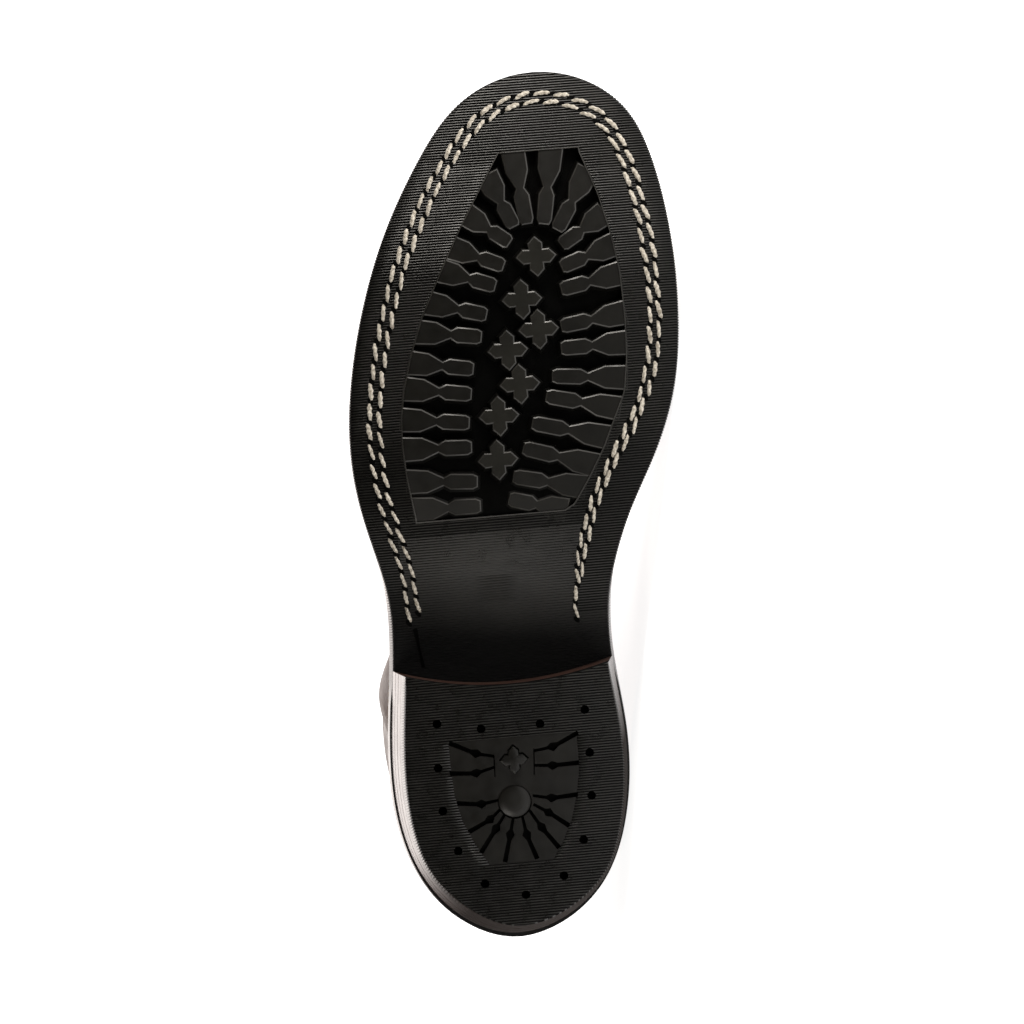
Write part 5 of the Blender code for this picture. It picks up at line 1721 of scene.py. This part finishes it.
# %% [markdown]
# The welt is the strip that joins upper and sole: the upper is sewn to it from inside, and the
# soles are stitched to it from outside. Its ring follows the upper on the inside and the sole's
# outline on the outside, with an eased upper edge where the stitching lies.

# %% Welt
WELT_ROW = 0.48
WELT_SAMPLES = 480
WELT_AIR = 0.1
WELT_SINK = 0.4
WELT_SECTION = table(
    "inward up",
    (0.4, 0.0),
    (0.0, 0.8),
    (0.0, WELT - 0.3),
    (0.25, WELT + 0.2),
    (0.8, WELT + 0.4),
)


def welt_lines():
    """Lines of the welt's section, each a ring round the boot."""
    turns = np.linspace(-1.0, 1.0, WELT_SAMPLES + 1)[:-1]
    side = np.where(turns < 0, -1.0, 1.0)
    outer = along_edge(inset(SOLE_EDGE, WELT_SETBACK), side, np.abs(turns))
    inner_low, inner_high = (
        upper_surface(row, turns) + upper_normal(row, turns) * WELT_AIR for row in (0.0, WELT_ROW)
    )
    low = feather_height(outer[:, 0]) - WELT_SINK
    inward = unit(inner_low[:, :2] - outer)
    lines = [np.column_stack((inner_low[:, :2], feather_height(inner_low[:, 0]) - WELT_SINK))]
    for shrink, up in zip(*WELT_SECTION.values()):
        lines.append(np.column_stack((outer + inward * shrink, low + up)))
    lines.append(inner_high)
    return lines


WELT_LINES = welt_lines()
make_piece("welt_leather", *loft(WELT_LINES + WELT_LINES[:1]), (WELT_LEATHER,), "welt", ("welt",))

# %% [markdown]
# A stitch is a short length of thread that dives into the leather at both ends. One helper lays
# stitches along any line on a surface; the sole's waxed thread is thick enough to show its twist,
# so its section is a two-lobed shape that turns along the stitch.

# %% Stitch helper
STITCH_SEED = 7
SEAM_RINGS, SEAM_SIDES = 5, 6
# How much a twisted thread varies in length, width, slant and place; its largest stray and its lobes.
VARIETY = np.array((0.07, 0.14, 0.5, 1.0))
STRAY = 0.22
LOBE = 0.16
# The middle of a stitch stands out of the leather, and its thinner ends sink in.
RISE, SINK = 1.1, 0.6
THIN_END = 0.55


def even_points(line, pitch):
    """Length along a line, and places on it about a pitch apart."""
    length = run_along(line)
    count = max(int(round(length[-1] / pitch)), 1)
    return length, (np.arange(count) + 0.5) * length[-1] / count


def tube(path, aside, up, wide, high, angles):
    """A closed tube along a path, with its radii aside and up at each angle."""
    rings = path[:, None] + aside[:, None] * (wide * np.cos(angles))[..., None]
    return capped(rings + up[:, None] * (high * np.sin(angles))[..., None])


def stitches(
    line, normals, pitch, length, half_width, half_height,
    rings=SEAM_RINGS, sides=SEAM_SIDES, twist=0.0, swing=0.0, slim=None,
):
    """Solids of the stitches along a line; a thick twisted thread also varies from stitch to stitch."""
    run, centres = even_points(line, pitch)
    chance = np.random.default_rng(STITCH_SEED)
    share = np.linspace(-0.5, 0.5, rings)
    dive = 1 - (2 * np.abs(share)) ** 3.0
    angles = circle(sides)
    solids = []
    for centre in centres:
        long, wide, aslant, off = 1 + chance.uniform(-1, 1, 4) * VARIETY * bool(twist)
        at = centre + share * length * long
        path, up = on_line(at, run, line), on_line(at, run, normals)
        wide *= slim(path[rings // 2, 0]) if slim else 1.0
        aside = np.cross(up, unit(path[-1] - path[0]))
        path = path + aside * (swing * aslant * share + STRAY * (off - 1))[:, None]
        path = path + up * (half_height * (dive * RISE - SINK))[:, None]
        full = (THIN_END + (1 - THIN_END) * dive) * wide
        lobes = 1 + (LOBE * np.cos(2 * (angles - twist * at[:, None])) if twist else 0.0)
        size = full[:, None] * lobes * np.ones(sides)
        solids.append(tube(path, aside, up, size * half_width, size * half_height, angles))
    return solids


print("a seam's stitch has %d faces" % ((SEAM_RINGS - 1) * SEAM_SIDES + 2))

# %% [markdown]
# Two rows of fine thread hold the upper edges of vamp and counter and the back edges of the
# facings. The throat's edges and both sides of the backstay have one row. A row is the line at a
# set distance from a panel's edge, found column by column on the panel's own grid.

# %% Seams of the upper
SEAM_PITCH, SEAM_LENGTH = 2.9, 2.494
SEAM_HALF = (0.34, 0.30)
SEAM_DISTANCES = (2.2, 4.6)
BACKSTAY_DISTANCE = 2.0
SEAM_ROOM = 1.5


def seam_line(grid, axis, at_end, distance):
    """Rows and turns of the line that keeps a distance from one edge of a panel."""
    rows, turns = (part if axis == 0 else part.T for part in grid)
    base = upper_surface(rows, turns)
    step = np.linalg.norm(np.diff(base, axis=0), axis=-1)
    run = np.concatenate((np.zeros((1, step.shape[1])), np.cumsum(step, axis=0)))
    run = run[-1] - run if at_end else run
    line_rows, line_turns = [], []
    for j in range(rows.shape[1]):
        order = np.argsort(run[:, j])
        if run[order[-1], j] > distance + SEAM_ROOM:
            line_rows.append(np.interp(distance, run[order, j], rows[order, j]))
            line_turns.append(np.interp(distance, run[order, j], np.unwrap(turns[order, j], period=2.0)))
    return np.array(line_rows), np.array(line_turns)


def seam(grid, axis, at_end, distance):
    rows, turns = seam_line(grid, axis, at_end, distance)
    line = off_upper(rows, turns, np.full(rows.shape, PANEL_TOP))
    return stitches(line, upper_normal(rows, turns), SEAM_PITCH, SEAM_LENGTH, *SEAM_HALF)


solids = []
for distance in SEAM_DISTANCES:
    solids += seam(VAMP, 0, True, distance) + seam(COUNTER, 0, True, distance)
    for grid in FACINGS.values():
        solids += seam(grid, 1, False, distance)
for grid in FACINGS.values():
    solids += seam(grid, 1, True, SEAM_DISTANCES[0])
for at_end in (False, True):
    solids += seam(BACKSTAY, 1, at_end, BACKSTAY_DISTANCE)
make_piece("upper_seams", *gather(solids), (SEAM_THREAD,), "upper")

# %% [markdown]
# The welt's own stitching shows from above, where the soles are sewn to it. It runs round the
# front of the boot between the welt's two upper lines, and ends a little behind the heel's breast.

# %% Welt stitching
WELT_PITCH, WELT_LENGTH = 4.6, 4.0
WELT_HALF = (0.62, 0.5)
WELT_SEWN_FROM = 70.0
OUTER_SHARE = 0.52
welt_line = OUTER_SHARE * WELT_LINES[5] + (1 - OUTER_SHARE) * WELT_LINES[6]
welt_line = np.concatenate((welt_line, welt_line[:1]))
welt_line = welt_line[welt_line[:, 0] > WELT_SEWN_FROM]
up = np.tile((0.0, 0.0, 1.0), (len(welt_line), 1))
print("welt line from x %.0f to %.0f" % (welt_line[:, 0].min(), welt_line[:, 0].max()))
middle = len(welt_line) // 2
solids = []
for half in (welt_line[:middle], welt_line[middle:]):
    solids += stitches(half, up[: len(half)], WELT_PITCH, WELT_LENGTH, *WELT_HALF)
make_piece("welt_stitching", *gather(solids), (SOLE_THREAD,), "welt")

# %% [markdown]
# Two rows of waxed thread hold the outsole. They follow the outline at a set distance, wander in
# under the arch on the inner side, and run out before the heel. Awl holes between the stitches are
# black marks, painted shade. The line is found by moving the outline inwards by a distance that
# changes along it.

# %% Rows of the sole stitching
ROWS_LATERAL = table(
    "x outer inner",
    (90.0, 7.2, 10.7),
    (250.0, 7.2, 10.7),
    (285.0, 7.7, 11.0),
    (308.0, 7.9, 11.1),
)
ROWS_MEDIAL = table(
    "x outer inner",
    (111.0, 12.2, 12.2),
    (119.0, 13.2, 13.2),
    (127.0, 12.3, 12.6),
    (131.0, 11.8, 13.7),
    (138.0, 11.5, 14.0),
    (151.0, 12.1, 14.2),
    (162.0, 12.2, 14.3),
    (175.0, 10.8, 13.1),
    (187.0, 9.6, 11.8),
    (202.0, 7.7, 10.8),
    (215.0, 6.9, 10.0),
    (250.0, 7.2, 10.5),
    (285.0, 7.7, 11.0),
    (308.0, 7.9, 11.1),
)


def sole_row(which, lateral_end, medial_end):
    """Line of one row on the tread from its lateral end round the toe to its medial end."""
    half = HALF_SAMPLES
    distance = np.concatenate((
        np.interp(SOLE_EDGE[:half, 0], ROWS_LATERAL["x"], ROWS_LATERAL[which]),
        np.interp(SOLE_EDGE[half:, 0], ROWS_MEDIAL["x"], ROWS_MEDIAL[which]),
    ))
    line = inset(SOLE_EDGE, distance)
    first = np.flatnonzero(line[:half, 0] > lateral_end)[0]
    last = half + np.flatnonzero(line[half:, 0] > medial_end)[-1]
    return at_height(line[first : last + 1], tread)


def tread_normals(line):
    slope = tread(line[:, 0] + 0.5) - tread(line[:, 0] - 0.5)
    return unit(np.column_stack((slope, np.zeros(len(line)), -np.ones(len(line)))))


SOLE_ROWS = (sole_row("outer", 111.6, 127.5), sole_row("inner", 114.4, 112.6))
print("rows: %.0f and %.0f mm long" % tuple(run_along(line)[-1] for line in SOLE_ROWS))

# %% Sole stitching and awl holes
STITCH_PITCH = 7.0
WAXED_THREAD = dict(length=5.9, half_width=0.74, half_height=0.66, rings=17, sides=12, twist=1.5, swing=1.1)
HOLE_PROUD, HOLE_DEPTH = 0.06, 0.6
AWL_SIDES = 8
AWL_HALF = (1.5, 0.75)
AWL_SLANT, AWL_SCALE = 0.7, 1.22
AWL_SECTION = ((0.0, HOLE_PROUD), (1.0, 0.04), (1.0, -HOLE_DEPTH), (0.0, -HOLE_DEPTH))
# The short knife cut at the end of the outer row, painted black as painted shade.
CHANNEL = (110.6, -33.2, 96.6, -30.0)
CHANNEL_SHAPE = table("along half_width", (0.0, 0.8), (0.5, 0.35), (1.0, 0.6))
SLIM = 0.80
SLIM_UP_TO, SLIM_FADE = 130.0, 45.0


def awl_holes(line, normals):
    """Lens-shaped awl holes between the stitches, painted black as painted shade."""
    run, centres = even_points(line, STITCH_PITCH)
    angles = circle(AWL_SIDES)[:, None]
    long, wide = AWL_HALF
    solids = []
    for at in np.append(centres - run[-1] / len(centres) / 2, run[-1]):
        centre, up = on_line(at, run, line), on_line(at, run, normals)
        ahead = unit(on_line(at + 0.5, run, line) - on_line(at - 0.5, run, line))
        slanted = (ahead + np.cross(up, ahead) * AWL_SLANT) / AWL_SCALE
        spokes = slanted * np.cos(angles) * long + np.cross(up, slanted) * np.sin(angles) * wide
        solids.append(loft([centre + spokes * size + up * lift for size, lift in AWL_SECTION]))
    return solids


def thread_slim(x):
    """The thread lies flatter and thinner where the sole bends up into the arch."""
    return SLIM + (1 - SLIM) * ease((x - SLIM_UP_TO) / SLIM_FADE)


thread, holes = [], []
for line in SOLE_ROWS:
    normals = tread_normals(line)
    thread += stitches(line, normals, STITCH_PITCH, **WAXED_THREAD, slim=thread_slim)
    holes += awl_holes(line, normals)
make_piece("sole_stitching", *gather(thread), (SOLE_THREAD,), "rubber")
channel_levels = ((0.0, lambda x: tread(x) - HOLE_PROUD), (0.0, lambda x: tread(x) + HOLE_DEPTH))
holes.append(block(shape_plan(CHANNEL, CHANNEL_SHAPE), channel_levels))
make_piece("sole_awl_holes_painted_shade", *gather(holes), (HOLE_PAINTED_SHADE,), "rubber")

# %% [markdown]
# Eyelets are drawn brass: a rolled flange on the leather and a barrel through it. A section turned
# about the leather's normal makes one; inside the barrel its lower wall and bottom are painted
# black as painted shade, since it leads inside.

# %% Eyelets
EYELET_PAIRS = 7
EYELET_INSET = 11.0
EYELET_SPAN = (9.65, 15.72)
EYELET_TURN = 0.9
EYELET_SIDES = 28
# The last bands of the section, down inside the barrel, are painted black as painted shade.
SHADE_BANDS = 2
EYELET_SECTION = table(
    "radius height",
    (0.00, -1.20),
    (2.90, -1.20),
    (2.95, -0.05),
    (4.15, -0.05),
    (4.25, 0.25),
    (3.95, 0.62),
    (3.45, 0.80),
    (2.95, 0.68),
    (2.62, 0.32),
    (2.50, -0.30),
    (2.50, -0.90),
    (0.00, -0.90),
)


def eyelet_rows():
    """Rows of the eyelets, evenly spaced up the throat's edge."""
    rows = np.linspace(*EYELET_SPAN, 101)
    run = run_along(upper_surface(rows, EYELET_TURN))
    return np.interp(np.linspace(0.0, run[-1], EYELET_PAIRS), run, rows)


def eyelet_ring(row, side):
    turn = turn_from_front(row, side * (float(throat_gap(row)) + EYELET_INSET))
    centre, normal = off_upper(row, turn, PANEL_TOP), upper_normal(row, turn)
    ahead = unit(np.cross(normal, (0.0, 0.0, 1.0)))
    aside = np.cross(normal, ahead)
    angles = circle(EYELET_SIDES)[:, None]
    spokes = ahead * np.cos(angles) + aside * np.sin(angles)
    section = zip(*EYELET_SECTION.values())
    return loft([centre + normal * height + spokes * radius for radius, height in section])


EYELET_ROWS = eyelet_rows()
solids = [eyelet_ring(row, side) for row in EYELET_ROWS for side in (-1.0, 1.0)]
bands = np.arange(len(EYELET_SECTION["radius"]) - 1)
finish = np.tile(np.repeat(bands >= len(bands) - SHADE_BANDS, EYELET_SIDES), len(solids))
nodes = [f"eyelet_{hand}_{pair}" for hand in ("lateral", "medial") for pair in range(1, EYELET_PAIRS + 1)]
make_piece("eyelets_brass", *gather(solids), (AGED_BRASS, HOLE_PAINTED_SHADE), "eyelet", nodes, finish)

# %% [markdown]
# The lace comes out of one eyelet, crosses the tongue and goes down into the next on the other
# side. At each crossing one strand rides over the other. Its braid is modelled: two sets of
# ridges wind round the cord in opposite directions. The ends are tucked in at the top eyelets.

# %% Lace
LACE_RADIUS = 1.5
LACE_POINTS = 90
LACE_SIDES = 16
# The braid's ridges round the cord and turns along it, and the cord's waist and swell.
RIDGES, BRAID = 4, 2.4
LACE_WAIST, LACE_SWELL = 0.95, 0.06
# Two strands share an eyelet side by side, and part again over this length.
BESIDE, BESIDE_FADE = 0.75, 6.0


def strand_height(over):
    """Height of a strand above the upper, by the distance from its eyelet."""
    middle = 3.9 if over else 0.7
    heights = np.array((0.6, 2.6, 3.7, 4.0, 3.6, 3.7 if over else 3.3, middle, middle))
    return eased_curve(np.array((0.0, 1.2, 2.6, 4.5, 8.0, 11.0, 17.0, 60.0)), heights)


def strand_path(low, high, side, over):
    """Centre line and normals of one strand from an eyelet to the one across."""
    half_low, half_high = (float(throat_gap(row)) + EYELET_INSET for row in (low, high))
    across = half_low + half_high
    t = crowded(LACE_POINTS)
    rows = low + (high - low) * t
    turns = np.array([turn_from_front(row, d) for row, d in zip(rows, side * (half_low - across * t))])
    from_eyelet = across * np.minimum(t, 1.0 - t)
    beside = np.where(t < 0.5, BESIDE, -BESIDE) * (1 - ease(from_eyelet / BESIDE_FADE))
    beside = beside if low != high else 0 * beside
    base = upper_surface(rows, turns) + unit(upward(rows, turns)) * beside[:, None]
    normals = upper_normal(rows, turns)
    return base + normals * strand_height(over)(from_eyelet)[:, None], normals


def braided(path, normals):
    """A closed braided cord along a path."""
    ahead = unit(np.gradient(path, axis=0))
    aside = unit(np.cross(normals, ahead))
    angles = circle(LACE_SIDES)
    run = run_along(path)[:, None]
    weave = np.maximum(np.cos(RIDGES * angles + BRAID * run), np.cos(RIDGES * angles - BRAID * run))
    radius = LACE_RADIUS * (LACE_WAIST + LACE_SWELL * weave)
    return tube(path, aside, np.cross(ahead, aside), radius, radius, angles)


strands = [strand_path(EYELET_ROWS[0], EYELET_ROWS[0], 1.0, False)]
for number, (low, high) in enumerate(zip(EYELET_ROWS, EYELET_ROWS[1:])):
    for side in (-1.0, 1.0):
        strands.append(strand_path(low, high, side, over=(side > 0) == (number % 2 == 0)))
print("lace shown: %.0f mm" % sum(run_along(path)[-1] for path, _ in strands))
lace = gather([braided(*strand) for strand in strands])
make_piece("lace_braided", *lace, (LACE_WEAVE,), "lace", ("lace",))

# %% [markdown]
# The picture is a plain studio shot. The floor is a light table: it glows a little, so the boot
# throws almost no shadow on it. It is no part of the boot.

# %% Floor
TABLE_FRONT, TABLE_BACK, TABLE_HALF = -0.33, 1.3, 1.2
TABLE_GLOW = 0.87


def make_floor():
    mesh = bpy.data.meshes.new("floor")
    corners = [
        (-TABLE_HALF, TABLE_FRONT, 0.0),
        (TABLE_HALF, TABLE_FRONT, 0.0),
        (TABLE_HALF, TABLE_BACK, 0.0),
        (-TABLE_HALF, TABLE_BACK, 0.0),
    ]
    mesh.from_pydata(corners, [], [(0, 1, 2, 3)])
    finish = Finish("light_table", roughness=0.9)
    finish.shader.inputs["Emission Color"].default_value = (1.0, 1.0, 1.0, 1.0)
    finish.shader.inputs["Emission Strength"].default_value = TABLE_GLOW
    finish.shader.inputs["Specular IOR Level"].default_value = 0.0
    finish.colour(finish.ramp(finish.noise(3.0), (0.80, 0.80, 0.80), (0.83, 0.83, 0.83)))
    mesh.materials.append(finish.material)
    floor = bpy.data.objects.new("floor", mesh)
    bpy.context.scene.collection.objects.link(floor)


make_floor()
print("light table: %.2f m deep" % (TABLE_BACK - TABLE_FRONT))

# %% [markdown]
# The room is a world whose strength depends on the direction. It is bright and a little warm
# behind the boot, where polished edges mirror it, and dim on the camera's side and beyond the
# heel, which keeps black rubber black. To look at, the room is plain white.

# %% Room
DIM, BRIGHT = 0.05, 1.85
# The room brightens over the first span from front to back, and over the second from heel to toe.
BACK_SPAN = (-0.15, 0.55)
TOE_SPAN = (-0.38, -0.16)
HEEL_SHARE = 0.10
WARM = (1.0, 0.93, 0.89, 1.0)
WHITE = (1.0, 1.0, 1.0, 1.0)


def make_world():
    world = bpy.data.worlds.new("studio")
    world.use_nodes = True
    nodes, links = world.node_tree.nodes, world.node_tree.links
    split = nodes.new("ShaderNodeSeparateXYZ")
    links.new(nodes.new("ShaderNodeTexCoord").outputs["Generated"], split.inputs["Vector"])

    def rising(axis, start, stop, low, high):
        span = nodes.new("ShaderNodeMapRange")
        span.interpolation_type = "SMOOTHSTEP"
        for socket, value in (("From Min", start), ("From Max", stop), ("To Min", low), ("To Max", high)):
            span.inputs[socket].default_value = value
        links.new(split.outputs[axis], span.inputs["Value"])
        return span.outputs["Result"]

    def joined(operation, first, second):
        node = nodes.new("ShaderNodeMath")
        node.operation = operation
        links.new(first, node.inputs[0])
        links.new(second, node.inputs[1])
        return node.outputs["Value"]

    behind = rising("Y", *BACK_SPAN, DIM, BRIGHT)
    glow = joined("MULTIPLY", behind, rising("X", *TOE_SPAN, HEEL_SHARE, 1.0))
    seen = nodes.new("ShaderNodeLightPath").outputs["Is Camera Ray"]
    links.new(joined("MAXIMUM", glow, seen), nodes["Background"].inputs["Strength"])
    tint = nodes.new("ShaderNodeMix")
    tint.data_type = "RGBA"
    links.new(seen, tint.inputs["Factor"])
    tint.inputs[6].default_value = WARM
    tint.inputs[7].default_value = WHITE
    links.new(tint.outputs[2], nodes["Background"].inputs["Color"])
    bpy.context.scene.world = world


make_world()
print("room strength from %.2f to %.2f" % (DIM * HEEL_SHARE, BRIGHT))

# %% [markdown]
# A small soft light low at the toe's side draws every rib, with a faint one beside it for the
# ball. A broad one far off on the heel's side leaves the arch in shade, and a hazy sun fills in
# from above. The camera doesn't see the lamps themselves.

# %% Lights
LAMP_COLOUR = (1.0, 0.95, 0.88)
LAMPS = (
    ("toe_light", (0.62, -0.36, 0.16), (0.05, -0.14, 0.05), 0.20, 2.6),
    ("ball_light", (0.44, -0.38, 0.14), (0.0, -0.14, 0.05), 0.22, 0.16),
    ("heel_light", (-1.1, -1.3, 0.4), (0.0, -0.14, 0.05), 0.7, 11.0),
)
SUN_DIRECTION, SUN_STRENGTH, SUN_SPREAD = (-0.1, -0.25, -1.0), 1.4, 50.0


def hung(data, direction):
    """A light object that shines along a direction."""
    light = bpy.data.objects.new(data.name, data)
    bpy.context.scene.collection.objects.link(light)
    light.rotation_euler = Vector(direction).to_track_quat("-Z", "Y").to_euler()
    return light


def soft_light(name, position, aim, size, watts):
    data = bpy.data.lights.new(name, "AREA")
    data.shape = "DISK"
    data.size = size
    data.energy = watts
    data.color = LAMP_COLOUR
    light = hung(data, Vector(aim) - Vector(position))
    light.location = position
    light.visible_camera = False


def soft_sun(name, direction, strength, spread):
    data = bpy.data.lights.new(name, "SUN")
    data.energy = strength
    data.angle = math.radians(spread)
    hung(data, direction)


for lamp in LAMPS:
    soft_light(*lamp)
soft_sun("top_sun", SUN_DIRECTION, SUN_STRENGTH, SUN_SPREAD)
bpy.context.scene.view_settings.view_transform = "Standard"
